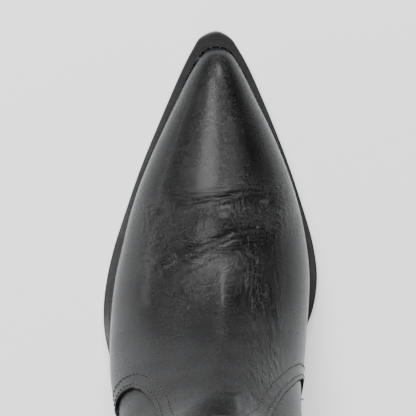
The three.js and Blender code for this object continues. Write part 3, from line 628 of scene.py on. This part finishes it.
# %% Binding
LAYERS_INSIDE = SHAFT_DEPTH + LINING_STEP + LINING
BINDING_OUTSIDE = SHAFT_DEPTH - LAYER_GAP - BINDING
BINDING_TOP, BINDING_DROP = LAYER_GAP + BINDING, 8
FOLDED_SHARE = 0.45  # share of the strip on either side of its middle that goes over the edge


def below(turn, drop):
    """Station that lies a drop under the top edge."""
    k = top_edge(turn)
    per_station = np.linalg.norm(skin(k, turn) - skin(k - 1, turn), axis=-1)
    return k - drop / per_station


def binding_points(turn, v):
    """v runs from the outer lower edge, over the top, to the inner lower edge."""
    outer, inner = BINDING_OUTSIDE, LAYERS_INSIDE + LAYER_GAP + BINDING
    middle, radius = (outer + inner) / 2, (inner - outer) / 2
    down = np.abs(v - 0.5) * 2
    straight = np.clip((down - FOLDED_SHARE) / (1 - FOLDED_SHARE), 0, 1)
    angle = np.clip(down / FOLDED_SHARE, 0, 1) * np.pi / 2
    side = np.where(v < 0.5, -1, 1)
    depth = middle + side * radius * np.sin(angle) ** 0.8
    rise = BINDING_TOP * np.cos(angle) ** 0.9
    drop = -rise + straight * BINDING_DROP
    return under(below(turn, drop), turn, depth)


def turn_top_up(bm):
    """The highest face of a ribbon that goes over an edge looks up."""
    highest = max(bm.faces, key=lambda face: face.calc_center_median().z)
    if highest.normal.z < 0:
        bmesh.ops.reverse_faces(bm, faces=bm.faces)


def add_binding():
    bm, turn, v = flat_grid(240, 26)
    move_to(bm, binding_points(turn, v), merge=0.00002)
    turn_top_up(bm)
    piece = add_piece("collar_strip", bm, "boot leather", "boot", ["collar_binding"])
    thicken(piece, BINDING * MM, 0.0002)
    return piece


print("collar binding:", len(add_binding().data.polygons), "faces")

# %% Side piping
PIPING_DEPTH, PIPING_HALF, PIPING_START = BINDING_OUTSIDE - GAP / 2, 3.0, 16.2
PIPING_CROWN = 0.7
SMALL_TURN = 0.02


def turn_per_mm(k):
    here = seam_turn(k)
    return 2 * SMALL_TURN / np.linalg.norm(skin(k, here - SMALL_TURN) - skin(k, here + SMALL_TURN), axis=-1)


def strip_place(side, half, start, drop_top):
    def place(u, v):
        k = mix(start, below(side * 0.5, drop_top), v)
        return k, side * (seam_turn(k) + u * half * turn_per_mm(k))
    return place


def piping_depth(k, turn):
    across = (np.abs(turn) - seam_turn(k)) / (PIPING_HALF * turn_per_mm(k))
    return PIPING_DEPTH - PIPING_CROWN * np.sqrt(np.clip(1 - across ** 2, 0, 1))


SIDES = (("lateral", 1), ("medial", -1))
for label, side in SIDES:
    place = strip_place(side, PIPING_HALF, PIPING_START, BINDING_DROP + 2 * GAP)
    leather_panel("side_cord_" + label, place, 12, 160, piping_depth, None, ["side_piping_" + label],
                  thickness=BINDING)

# %% [markdown]
# ## Welt, outsole and heel
# The outsole is one plate, cut to an outline that comes to a narrow round at the toe. The welt and
# the heel's rand are strips along the same outline. Each could be a filled polygon, but its edge
# would show corners. So a grid is laid along the outline, from the edge inwards, and Solidify gives
# it its thickness. The heel's lifts are plain blocks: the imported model's own, with their rim bevelled.

# %% The sole's outline
# Distance from the tip, outer edge, inner edge.
OUTLINE = np.array([
    [0, -4.2, -4.2], [2.8, 3.4, -10.9], [8, 7.3, -15], [21, 14.2, -22.1], [45, 25, -32.4],
    [69, 35.2, -41.5], [94, 44.1, -49.4], [110, 49.3, -53.5], [126, 53.1, -55.2], [142, 54.9, -52.9],
    [158, 53.5, -46.5], [178, 47.5, -37.5], [200, 40.5, -31.5], [225, 36, -30.5], [250, 35, -32],
    [275, 35, -33.5], [297, 29.5, -28.5], [310, 16.5, -15.5], [315, 0.5, 0.5],
])
OUTLINE_D, OUTER_EDGE, INNER_EDGE = OUTLINE.T
OUTLINE_END = len(OUTLINE) - 1


def outline_middle(k):
    return smooth((OUTER_EDGE + INNER_EDGE) / 2, k, MIRRORED)


def outline(k, side):
    half = smooth((OUTER_EDGE - INNER_EDGE) / 2, k, TURNED_OVER)
    return np.stack([outline_middle(k) + side * half, smooth(OUTLINE_D, k, MIRRORED)], -1)


# %% A plate along the outline
HEART_BEHIND, HEART_LAST = 14, 285  # a point of the edge looks at a heart this far behind it
WELT_REACH = 9
MOST_REACH = 0.6  # of the way to the heart


def laid_grid(columns, rows, flat_place, height):
    """A grid laid flat by flat_place(u, v), then lifted to its height over the ground."""
    bm, u, v = flat_grid(columns, rows)
    ground = flat_place(u, v)
    move_to(bm, np.column_stack([ground, height(ground[:, 1])]), merge=0.00003)
    if sum(face.normal.z for face in bm.faces) < 0:
        bmesh.ops.reverse_faces(bm, faces=bm.faces)
    return bm


def place_inside(k_of, reach_limit):
    """u runs from the outline towards the sole's middle line, v along the outline."""
    middle_line = outline_middle(np.arange(OUTLINE_END + 1.0))

    def place(u, v):
        k, side = k_of(v)
        edge = outline(k, side)
        heart_d = np.minimum(edge[:, 1] + HEART_BEHIND, HEART_LAST)
        to_heart = np.column_stack([np.interp(heart_d, OUTLINE_D, middle_line), heart_d]) - edge
        full = np.linalg.norm(to_heart, axis=1)
        reach = full if reach_limit is None else np.minimum(reach_limit, MOST_REACH * full)
        return edge + unit(to_heart) * (reach * (u + 1) / 2)[:, None]
    return place


# %% Where each plate runs
BREAST_TOP = 240  # the heel's front face at its top
CROWDING = 1.1  # draws the rows of a strip together at its tip


def breast_station(d):
    rows = np.linspace(10, 16, 600)
    return float(np.interp(d, outline(rows, 1)[:, 1], rows))


def side_of(v):
    return np.where(v < 0.5, -1.0, 1.0)


def round_toe(v):
    return breast_station(BREAST_TOP - GAP) * np.abs(2 * v - 1) ** CROWDING, side_of(v)


def round_heel(v):
    start = breast_station(BREAST_TOP)
    return OUTLINE_END - (OUTLINE_END - start) * np.abs(2 * v - 1) ** CROWDING, side_of(v)


def all_round(v):
    return OUTLINE_END * np.abs(2 * v - 1), side_of(v)


# %% Outsole, welt and rand
for name, node, place, columns, rows, top, thickness in (
    ("outsole_leather", "outsole", place_inside(all_round, None), 24, 420, outsole_top, OUTSOLE),
    ("welt_strip", "welt", place_inside(round_toe, WELT_REACH), 8, 360, welt_top, WELT),
    ("heel_rand_strip", "heel_rand", place_inside(round_heel, WELT_REACH), 8, 160, welt_top, WELT),
):
    plate = add_piece(name, laid_grid(columns, rows, place, top), "sole edge", "boot", [node])
    thicken(plate, thickness * MM, 0.00035)
    print(name + ":", len(plate.data.polygons), "faces")


# %% Heel stack
RIM_ANGLE = math.radians(40)


def dressed(node, name, material, edge, segments=3):
    """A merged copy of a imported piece, with its sharp rim rounded."""
    bm = bmesh.new()
    bm.from_mesh(frame["nodes"][node].data)
    bmesh.ops.remove_doubles(bm, verts=bm.verts, dist=0.00001)
    bmesh.ops.dissolve_degenerate(bm, dist=0.00001, edges=bm.edges)
    bmesh.ops.recalc_face_normals(bm, faces=bm.faces)
    sharp = [e for e in bm.edges if len(e.link_faces) == 2 and e.calc_face_angle() > RIM_ANGLE]
    bmesh.ops.bevel(bm, geom=sharp, offset=edge, offset_type="OFFSET", affect="EDGES", segments=segments,
                    profile=0.5, material=-1, clamp_overlap=True)
    return add_piece(name, bm, material, frame["nodes"][node]["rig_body"], [node])


dressed("wedge_lift", "heel_wedge", "heel stack", 0.0004)
for number in range(1, 5):
    dressed(f"heel_lift_{number}", f"heel_layer_{number}", "heel stack", 0.0003, 2)
dressed("rubber_top_piece", "heel_top_piece", "heel rubber", 0.0008)
print("heel: a wedge, four layers and a top piece")

# %% [markdown]
# ## Pull straps
# A pull strap is one ribbon: sewn down the outside, over the collar as a loop, and sewn down the
# inside. It is one mesh, laid in place from one tail over the loop to the other.

# %% The ribbon's path, seen from the toe
STRAP_WIDTH, STRAP, LOOP_HEIGHT, FOOT_RADIUS = 26, 1.8, 32, 3.9
LOOP_HALF = 5.2 + STRAP  # half the loop's width at its round top
LOOP_STRAIGHT = LOOP_HEIGHT - FOOT_RADIUS - LOOP_HALF - 2
OUTER_TAIL, INNER_TAIL = 75, 60
OUTER_TAIL_DEPTH = BINDING_OUTSIDE - GAP - STRAP
INNER_TAIL_DEPTH = LAYERS_INSIDE + LAYER_GAP + BINDING + GAP


def strap_hinge(side):
    top = under(below(side * 0.5, -BINDING_TOP), np.array(side * 0.5),
                np.array((OUTER_TAIL_DEPTH + INNER_TAIL_DEPTH + STRAP) / 2))
    return top + [0, 0, GAP + FOOT_RADIUS]


def tail_points(side, across, down, depth):
    """Points of a tail at distances across the ribbon and down from the collar's top."""
    k = below(side * 0.5, down)
    turn = side * (seam_turn(k) + across * turn_per_mm(k))
    return under(k, turn, np.full_like(k, depth))


def loop_points(side, across, t):
    """The loop over the collar, t from 0 at its outer foot to 1 at its inner foot."""
    hinge = strap_hinge(side)
    arc = np.pi * LOOP_HALF
    length = 2 * LOOP_STRAIGHT + arc
    s = t * length
    rising, falling = s < LOOP_STRAIGHT, s > LOOP_STRAIGHT + arc
    from_foot = np.where(rising, s, length - s)
    swell = np.where(rising | falling, ramp(from_foot, 0, LOOP_STRAIGHT * 0.7), 1)
    wide = mix(FOOT_RADIUS, LOOP_HALF, swell)
    angle = np.clip((s - LOOP_STRAIGHT) / LOOP_HALF, 0, np.pi)
    out = np.where(rising, wide, np.where(falling, -wide, LOOP_HALF * np.cos(angle)))
    up = np.where(rising | falling, from_foot, LOOP_STRAIGHT + LOOP_HALF * np.sin(angle))
    return np.stack([hinge[0] + side * out, hinge[1] + across * side, hinge[2] + up], -1)


# %% The straps
JOIN = 0.07  # how far the loop and a tail melt into each other


def add_strap(label, side):
    bm, u, v = flat_grid(22, 150)
    across = u * STRAP_WIDTH / 2
    path = v * 3  # 0 to 1 is the outer tail, 1 to 2 the loop, 2 to 3 the inner tail
    outer = tail_points(side, across, OUTER_TAIL * (1 - path), OUTER_TAIL_DEPTH)
    inner = tail_points(side, across, INNER_TAIL * (path - 2), INNER_TAIL_DEPTH + STRAP)
    loop = loop_points(side, across, np.clip(path - 1, 0, 1))
    before = ramp(path, 1 - JOIN, 1 + JOIN)[:, None]
    after = ramp(path, 2 - JOIN, 2 + JOIN)[:, None]
    move_to(bm, mix(mix(outer, loop, before), inner, after))
    turn_top_up(bm)
    strap = add_piece("pull_strap_" + label, bm, "strap leather", None, [])
    thicken(strap, STRAP * MM, 0.0004)
    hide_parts("strap_loop_" + label, "strap_outer_tail_" + label, "strap_inner_tail_" + label)
    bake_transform(strap)
    return strap


for label, side in SIDES:
    strap = add_strap(label, side)
    print(strap.name, "reaches", round(max(vert.co.z for vert in strap.data.vertices), 4))

# %% [markdown]
# ## Stitching
# Each stitch is a short, fat thread that dips into the leather at both ends. There are over
# a thousand, so one stitch is a sphere of a few faces, stretched along its row. A row is walked over
# the last at a set distance inside the edge of its panel.

# %% Walk over the last
def slopes(k, turn, step=0.004):
    along_k = (skin(k + step, turn) - skin(k - step, turn)) / (2 * step)
    along_turn = (skin(k, turn + step) - skin(k, turn - step)) / (2 * step)
    return along_k, along_turn


def walk(k, turn, target):
    """The station and turn whose point of the skin is nearest to each target."""
    for _ in range(4):
        a, b = slopes(k, turn)
        rest = target - skin(k, turn)
        aa, bb, ab = (a * a).sum(-1), (b * b).sum(-1), (a * b).sum(-1)
        ar, br = (a * rest).sum(-1), (b * rest).sum(-1)
        base = np.maximum(aa * bb - ab * ab, 1e-6)
        k, turn = k + (ar * bb - br * ab) / base, turn + (br * aa - ar * ab) / base
    return k, turn


def row_inside(k, turn, inset, toward):
    """A row at an inset from an edge, on the side where the point toward=(k, turn) lies."""
    edge = skin(k, turn)
    tangent = unit(np.gradient(edge, axis=0))
    across = unit(np.cross(-inward(k, turn), tangent))
    wanted = skin(*(np.array(t, float) for t in toward)) - edge[len(edge) // 2]
    if across[len(edge) // 2] @ wanted < 0:
        across = -across
    return walk(k, turn, edge + across * inset)


def evenly_spaced(points, pitch):
    steps = np.linalg.norm(np.diff(points, axis=0), axis=1)
    length = np.concatenate([[0], np.cumsum(steps)])
    count = max(2, int(length[-1] / pitch))
    places = np.linspace(0, length[-1], count)
    return np.stack([np.interp(places, length, points[:, i]) for i in range(3)], -1)


# %% Sew a row
THREAD, STITCH, PITCH = 0.32, 2.1, 2.6
seams = {}


def stitch_directions(normals, count):
    """The row's outward directions, spread over its stitches."""
    wanted, known = np.linspace(0, 1, count), np.linspace(0, 1, len(normals))
    return unit(np.stack([np.interp(wanted, known, normals[:, i]) for i in range(3)], -1))


def sew(name, points, normals, pitch=PITCH, thread=THREAD, stitch=STITCH):
    """Adds a row of stitches, in frame millimetres, to the named seam."""
    seam = seams.setdefault(name, bmesh.new())
    places = evenly_spaced(points, pitch)
    aheads = unit(np.gradient(places, axis=0))
    poles_ahead = Matrix.Rotation(math.pi / 2, 4, "Y")
    bm = bmesh.new()
    for place, ahead, out in zip(places, aheads, stitch_directions(normals, len(places))):
        side = np.cross(out, ahead)
        side /= max(np.linalg.norm(side), 1e-9)
        out = np.cross(ahead, side)
        turned = Matrix((ahead, side, out)).transposed().to_4x4()
        stretch = Matrix.Diagonal((stitch / 2 * MM, thread * MM, thread * 0.8 * MM, 1))
        at = Matrix.Translation(Vector((place + out * thread * 0.35) * MM))
        bmesh.ops.create_uvsphere(bm, u_segments=6, v_segments=4, radius=1,
                                  matrix=at @ turned @ stretch @ poles_ahead)
    row = bpy.data.meshes.new("row")
    bm.to_mesh(row)
    bm.free()
    seam.from_mesh(row)
    bpy.data.meshes.remove(row)


def sew_on_last(name, k, turn, depth=0.0, relief=None, **size):
    """Sews a row that is given as stations and turns, in the surface of its panel."""
    points = under(k, turn, np.broadcast_to(depth, k.shape)) + SHIFT
    into = inward(k, turn)
    if relief:
        points = points + into * relief(points, k, turn)[:, None]
    sew(name, points, -into, **size)


# %% Rows of the vamp and the counter cover
for side in (1, -1):
    turns = side * np.linspace(0.001, 0.735, 900)
    for inset in (2.4, 7.6):
        k, turn = row_inside(vamp_edge(turns), turns, inset, (8, side * 0.3))
        sew_on_last("vamp_stitching", k, turn, 0, worn)

across = np.linspace(-0.999, 0.999, 700)
edge_k, edge_turn = counter_place(across, np.ones_like(across))
for inset in (2.4, 5.4):
    for half in (across < -0.02, across > 0.02):
        k, turn = row_inside(edge_k[half], edge_turn[half], inset, (17.5, np.sign(across[half][0]) * 0.85))
        sew_on_last("counter_stitching", k, turn, 0, counter_wear)

# %% Rows of the binding, the piping and the straps
STRAP_ROW = STRAP_WIDTH / 2 - 2.2
ring = np.linspace(-1, 1, 900)
ring = ring[np.abs(np.abs(ring) - 0.5) > 0.085]
for part in np.split(ring, np.where(np.diff(ring) > 0.01)[0] + 1):
    sew_on_last("collar_stitching", below(part, 5.6), part, BINDING_OUTSIDE, pitch=2.8)
for label, side in SIDES:
    last_station = float(below(np.array(side * 0.5), OUTER_TAIL + 3))
    climb = np.linspace(PIPING_START + 0.1, last_station, 260)
    for edge in (-4.4, 4.4):
        turn = side * (seam_turn(climb) + edge * turn_per_mm(climb))
        sew_on_last("side_stitching", climb, turn, shaft_depth(climb), slack)
    down = np.linspace(4, OUTER_TAIL - 2.4, 60)
    for edge in (-STRAP_ROW, STRAP_ROW):
        points = tail_points(side, np.full_like(down, edge), down, OUTER_TAIL_DEPTH) + SHIFT
        k = below(side * 0.5, down)
        sew("strap_stitching", points, -inward(k, side * seam_turn(k)))
    wide = np.linspace(-STRAP_ROW, STRAP_ROW, 20)
    for down_at in (OUTER_TAIL - 2.4, OUTER_TAIL - 26, 12):
        k = below(side * 0.5, np.full_like(wide, down_at))
        points = tail_points(side, wide, np.full_like(wide, down_at), OUTER_TAIL_DEPTH) + SHIFT
        sew("strap_stitching", points, -inward(k, side * seam_turn(k)))

# %% The welt row
for side in (1, -1):
    k = np.linspace(0.55, 14.6, 700)
    edge = skin(k, np.full_like(k, side))
    tangent = unit(np.gradient(edge[:, :2], axis=0))
    out = np.stack([tangent[:, 1], -tangent[:, 0]], -1) * side
    if (out[:, 0] * side).mean() < 0:
        out = -out
    flat = edge[:, :2] + out * 2.9
    points = np.column_stack([flat, welt_top(flat[:, 1])]) + SHIFT
    sew("welt_stitching", points, np.tile([0.0, 0.0, 1.0], (len(k), 1)), pitch=2.9, thread=0.24, stitch=2.2)

# %% Seams become pieces
FACES_PER_STITCH = 24
for name, bm in seams.items():
    threads = add_piece(name, bm, "waxed thread", "boot", [])
    print(name + ":", len(threads.data.polygons) // FACES_PER_STITCH, "stitches")

# %% [markdown]
# ## Finishes
# Boot leather is dyed calf under a thin polish. Its look is in the gloss: a base that is almost
# black, a fine pore pattern as bump, and a roughness that drifts across the hide. Every pattern
# reads the object's own coordinates.

# %% Node helpers
class Nodes:
    """A material's node tree, with a short way to add each kind of node that a finish needs."""

    def __init__(self, name, **sockets):
        self.material = finish_slot(name)
        self.material.use_nodes = True
        self.tree = self.material.node_tree
        self.shader = self.tree.nodes["Principled BSDF"]
        for socket, value in sockets.items():
            self.shader.inputs[socket.replace("_", " ")].default_value = value
        self.place = self.add("ShaderNodeTexCoord").outputs["Object"]

    def add(self, kind, **settings):
        node = self.tree.nodes.new(kind)
        for key, value in settings.items():
            setattr(node, key, value)
        return node

    def link(self, start, end):
        self.tree.links.new(start, end)

    def noise(self, scale, detail=3, roughness=0.5, place=None):
        node = self.add("ShaderNodeTexNoise")
        node.inputs["Scale"].default_value = scale
        node.inputs["Detail"].default_value = detail
        node.inputs["Roughness"].default_value = roughness
        self.link(place or self.place, node.inputs["Vector"])
        return node.outputs["Fac"]

    def cells(self, scale):
        node = self.add("ShaderNodeTexVoronoi", feature="DISTANCE_TO_EDGE")
        node.inputs["Scale"].default_value = scale
        self.link(self.place, node.inputs["Vector"])
        return node.outputs["Distance"]

    def stretched(self, scale, turn=0.0):
        """The place, scaled along each axis and turned about the upright one."""
        node = self.add("ShaderNodeMapping")
        node.inputs["Scale"].default_value = scale
        node.inputs["Rotation"].default_value = (0, 0, turn)
        self.link(self.place, node.inputs["Vector"])
        return node.outputs["Vector"]

    def remap(self, value, low, high, to_low, to_high):
        node = self.add("ShaderNodeMapRange")
        sockets = ("From Min", "From Max", "To Min", "To Max")
        for socket, number in zip(sockets, (low, high, to_low, to_high)):
            node.inputs[socket].default_value = number
        self.link(value, node.inputs["Value"])
        return node.outputs["Result"]

    def blend(self, factor, first, second):
        node = self.add("ShaderNodeMix", data_type="RGBA")
        node.inputs["A"].default_value, node.inputs["B"].default_value = (*first, 1), (*second, 1)
        self.link(factor, node.inputs["Factor"])
        return node.outputs["Result"]

    def bump(self, height, distance, strength, after=None):
        node = self.add("ShaderNodeBump")
        node.inputs["Distance"].default_value = distance
        node.inputs["Strength"].default_value = strength
        self.link(height, node.inputs["Height"])
        if after:
            self.link(after, node.inputs["Normal"])
        return node.outputs["Normal"]

    def math(self, operation, a, b):
        node = self.add("ShaderNodeMath", operation=operation)
        for socket, value in zip(node.inputs, (a, b)):
            if isinstance(value, (int, float)):
                socket.default_value = value
            else:
                self.link(value, socket)
        return node.outputs["Value"]

    def set(self, **sockets):
        for socket, value in sockets.items():
            self.link(value, self.shader.inputs[socket.replace("_", " ")])


# %% Leather
def leather(name, dark, light, roughness, pores, grain=0.00009, coat=0.08):
    """Dyed leather: drifting gloss, fine pores, the slow unevenness of a hide."""
    n = Nodes(name, IOR=1.48, Specular_IOR_Level=0.27, Coat_Weight=coat, Coat_Roughness=0.2)
    n.set(Base_Color=n.blend(n.remap(n.noise(38, 4), 0.35, 0.68, 0, 1), dark, light))
    drift = n.remap(n.noise(55, 5), 0.3, 0.7, roughness - 0.05, roughness + 0.07)
    n.set(Roughness=n.math("ADD", drift, n.remap(n.noise(900, 2), 0.3, 0.7, -0.03, 0.04)))
    pore = n.bump(n.remap(n.cells(pores), 0, 0.22, 0, 1), grain, 0.55)
    hide = n.bump(n.noise(260, 4, 0.6), 0.00014, 0.5, pore)
    n.set(Normal=n.bump(n.noise(60, 2), 0.0006, 0.3, hide))
    return n, hide


BLACK, WORN_BLACK = (0.0035, 0.0035, 0.004), (0.0075, 0.0075, 0.008)
leather("boot leather", BLACK, WORN_BLACK, 0.26, 1500)
leather("strap leather", BLACK, WORN_BLACK, 0.38, 1500)
leather("pigskin lining", (0.17, 0.115, 0.065), (0.25, 0.175, 0.105), 0.72, 620, 0.00014, 0.0)


def creased_leather():
    """The vamp's leather, with fine wrinkles where its masks say that it bends."""
    n, hide = leather("vamp leather", BLACK, WORN_BLACK, 0.245, 1500)

    def masked(pattern, name):
        mask = n.add("ShaderNodeAttribute", attribute_name=name)
        return n.math("MULTIPLY", pattern, mask.outputs["Fac"])

    cross = masked(n.noise(640, 2.5, 0.6, n.stretched((0.2, 1, 0.4), -0.22)), "cross")
    length = masked(n.noise(620, 2.5, 0.6, n.stretched((1, 0.17, 0.3), 0.17)), "length")
    pebble = masked(n.noise(560, 2, 0.55), "pebble")
    height = n.math("ADD", n.math("ADD", cross, length), pebble)
    n.set(Normal=n.bump(height, 0.0019, 0.85, hide))


creased_leather()


# %% Thread, sole and heel
def waxed_thread():
    n = Nodes("waxed thread", Roughness=0.55, Sheen_Weight=0.15)
    n.set(Base_Color=n.blend(n.noise(1800, 2), (0.004, 0.004, 0.005), (0.016, 0.016, 0.017)))
    n.set(Normal=n.bump(n.noise(3500, 2), 0.00008, 0.8))


def stacked(name, dark, light, roughness, layers):
    """Dyed sole leather: fine fibre, and where it is cut, thin lines along the layers."""
    n = Nodes(name, Coat_Weight=0.12, Coat_Roughness=0.3)
    n.set(Base_Color=n.blend(n.remap(n.noise(120, 5, 0.65), 0.35, 0.7, 0, 1), dark, light))
    n.set(Roughness=n.remap(n.noise(90, 4), 0.3, 0.7, roughness - 0.08, roughness + 0.1))
    lines = n.noise(layers, 3, 0.6, n.stretched((0.05, 0.05, 1)))
    height = n.math("ADD", n.noise(700, 4, 0.7), n.math("MULTIPLY", lines, 1.2))
    n.set(Normal=n.bump(height, 0.0002, 0.6))


waxed_thread()
stacked("sole edge", (0.007, 0.007, 0.0075), (0.016, 0.016, 0.016), 0.5, 900)
stacked("heel stack", (0.006, 0.006, 0.006), (0.014, 0.013, 0.012), 0.45, 1400)


def rubber():
    n = Nodes("heel rubber")
    n.set(Base_Color=n.blend(n.noise(220, 4), (0.012, 0.012, 0.012), (0.03, 0.03, 0.029)))
    n.set(Roughness=n.remap(n.noise(140, 3), 0.3, 0.7, 0.72, 0.9))
    n.set(Normal=n.bump(n.noise(1600, 3), 0.00015, 0.6))


rubber()


# %% Hidden pieces and fastenings
def plain_fibre(name, dark, light, roughness, scale, grain):
    n = Nodes(name)
    n.set(Base_Color=n.blend(n.remap(n.noise(scale, 5, 0.65), 0.3, 0.7, 0, 1), dark, light))
    n.set(Roughness=n.remap(n.noise(scale * 0.7, 3), 0.3, 0.7, roughness - 0.08, roughness + 0.06))
    n.set(Normal=n.bump(n.noise(scale * 6, 3), grain, 0.6))


def brushed(name, dark, light, roughness):
    n = Nodes(name, Metallic=1.0)
    n.set(Base_Color=n.blend(n.noise(160, 4), dark, light))
    n.set(Roughness=n.remap(n.noise(500, 3), 0.3, 0.7, roughness - 0.08, roughness + 0.14))
    n.set(Normal=n.bump(n.noise(2400, 2), 0.00005, 0.4))


# Colours of the dark and the light fibre, roughness, size of the pattern, and height of the grain.
plain_fibre("stiffener board", (0.2, 0.16, 0.1), (0.32, 0.26, 0.18), 0.85, 180, 0.0002)
plain_fibre("insole leather", (0.33, 0.21, 0.11), (0.46, 0.31, 0.18), 0.7, 90, 0.0001)
plain_fibre("sock leather", (0.16, 0.105, 0.06), (0.23, 0.155, 0.09), 0.65, 110, 0.0001)
plain_fibre("ground cork", (0.19, 0.1, 0.045), (0.42, 0.25, 0.12), 0.9, 420, 0.0006)
plain_fibre("peg wood", (0.44, 0.3, 0.16), (0.6, 0.45, 0.27), 0.65, 500, 0.0001)
brushed("brass", (0.5, 0.32, 0.12), (0.66, 0.46, 0.2), 0.34)
brushed("spring steel", (0.3, 0.3, 0.31), (0.5, 0.5, 0.51), 0.36)

CARRIED = {
    "toe_puff": "stiffener board", "heel_stiffener": "stiffener board", "insole": "insole leather",
    "sock_liner": "sock leather", "cork_filler": "ground cork", "shank": "spring steel",
}
CARRIED.update({name: "brass" for name in frame["nodes"] if name.startswith("heel_nail")})
CARRIED.update({name: "peg wood" for name in frame["nodes"] if name.startswith("peg_")})

for node, finish in CARRIED.items():
    slots = frame["nodes"][node].data.materials
    slots.clear()
    slots.append(finish_slot(finish))
print(len(CARRIED), "packed pieces have their finish")

# %% [markdown]
# ## Floor, light and camera
# Black leather shows only what it reflects. One soft light overhead and two smaller ones draw the
# long highlights, low strips edge the sides, and the pale floor glows a little by itself so that it
# stays light. The camera stands above the ball of the boot and looks almost straight down.

# %% Floor
FLOOR_HALF = 4  # metres


def add_floor():
    bm = bmesh.new()
    bmesh.ops.create_grid(bm, x_segments=1, y_segments=1, size=FLOOR_HALF)
    mesh = bpy.data.meshes.new("floor")
    bm.to_mesh(mesh)
    bm.free()
    floor = bpy.data.objects.new("floor", mesh)
    bpy.context.scene.collection.objects.link(floor)
    paper = bpy.data.materials.new("pale paper")
    paper.use_nodes = True
    shader = paper.node_tree.nodes["Principled BSDF"]
    shader.inputs["Base Color"].default_value = (0.86, 0.87, 0.88, 1)
    shader.inputs["Roughness"].default_value = 0.9
    shader.inputs["Emission Color"].default_value = (0.97, 0.98, 1, 1)
    shader.inputs["Emission Strength"].default_value = 0.8
    mesh.materials.append(paper)


add_floor()
print("floor:", 2 * FLOOR_HALF, "m square")


# %% Lights
def add_light(name, place, target, size, power):
    lamp = bpy.data.lights.new(name, "AREA")
    lamp.shape = "RECTANGLE"
    lamp.size, lamp.size_y = size
    lamp.energy = power
    light = bpy.data.objects.new(name, lamp)
    bpy.context.scene.collection.objects.link(light)
    light.location = place
    light.rotation_euler = (Vector(target) - Vector(place)).to_track_quat("-Z", "Y").to_euler()


add_light("key", (0.42, -0.85, 1.75), (0, 0, 0.05), (0.55, 0.9), 34)
add_light("instep", (-0.06, -1.3, 1.2), (0, 0, 0.06), (0.26, 0.45), 15)
add_light("top", (-0.02, 0.2, 2.1), (0, 0, 0.06), (0.2, 0.3), 5)
add_light("outer_side", (1.3, -0.05, 0.3), (0, 0, 0.1), (1.5, 0.14), 9)
add_light("inner_side", (-1.3, 0.1, 0.22), (0, 0, 0.1), (1.3, 0.12), 2.5)
add_light("toe_side", (0.1, -1.6, 0.35), (0, 0, 0.1), (0.8, 0.15), 2)
add_light("heel_side", (0.3, 1.5, 0.9), (0, 0, 0.15), (1.0, 0.6), 3)

world = bpy.data.worlds.new("studio")
bpy.context.scene.world = world
world.use_nodes = True
sky = world.node_tree.nodes["Background"]
sky.inputs["Color"].default_value = (0.93, 0.95, 0.97, 1)
sky.inputs["Strength"].default_value = 0.05
print(len(bpy.data.lights), "lights")

# %% Camera
def add_camera(place, target, up, lens):
    camera = bpy.data.objects.new("camera", bpy.data.cameras.new("camera"))
    bpy.context.scene.collection.objects.link(camera)
    forward = (Vector(target) - Vector(place)).normalized()
    right = forward.cross(Vector(up)).normalized()
    true_up = right.cross(forward)
    turned = Matrix((right, true_up, -forward)).transposed().to_4x4()
    camera.matrix_world = Matrix.Translation(place) @ turned
    camera.data.lens = lens
    bpy.context.scene.camera = camera


add_camera((0.010, -0.066, 1.298), (0.0009, -0.0692, 0.03), (-0.0093, -1, 0), 216.75)
print("camera:", round(bpy.context.scene.camera.data.lens), "mm lens")
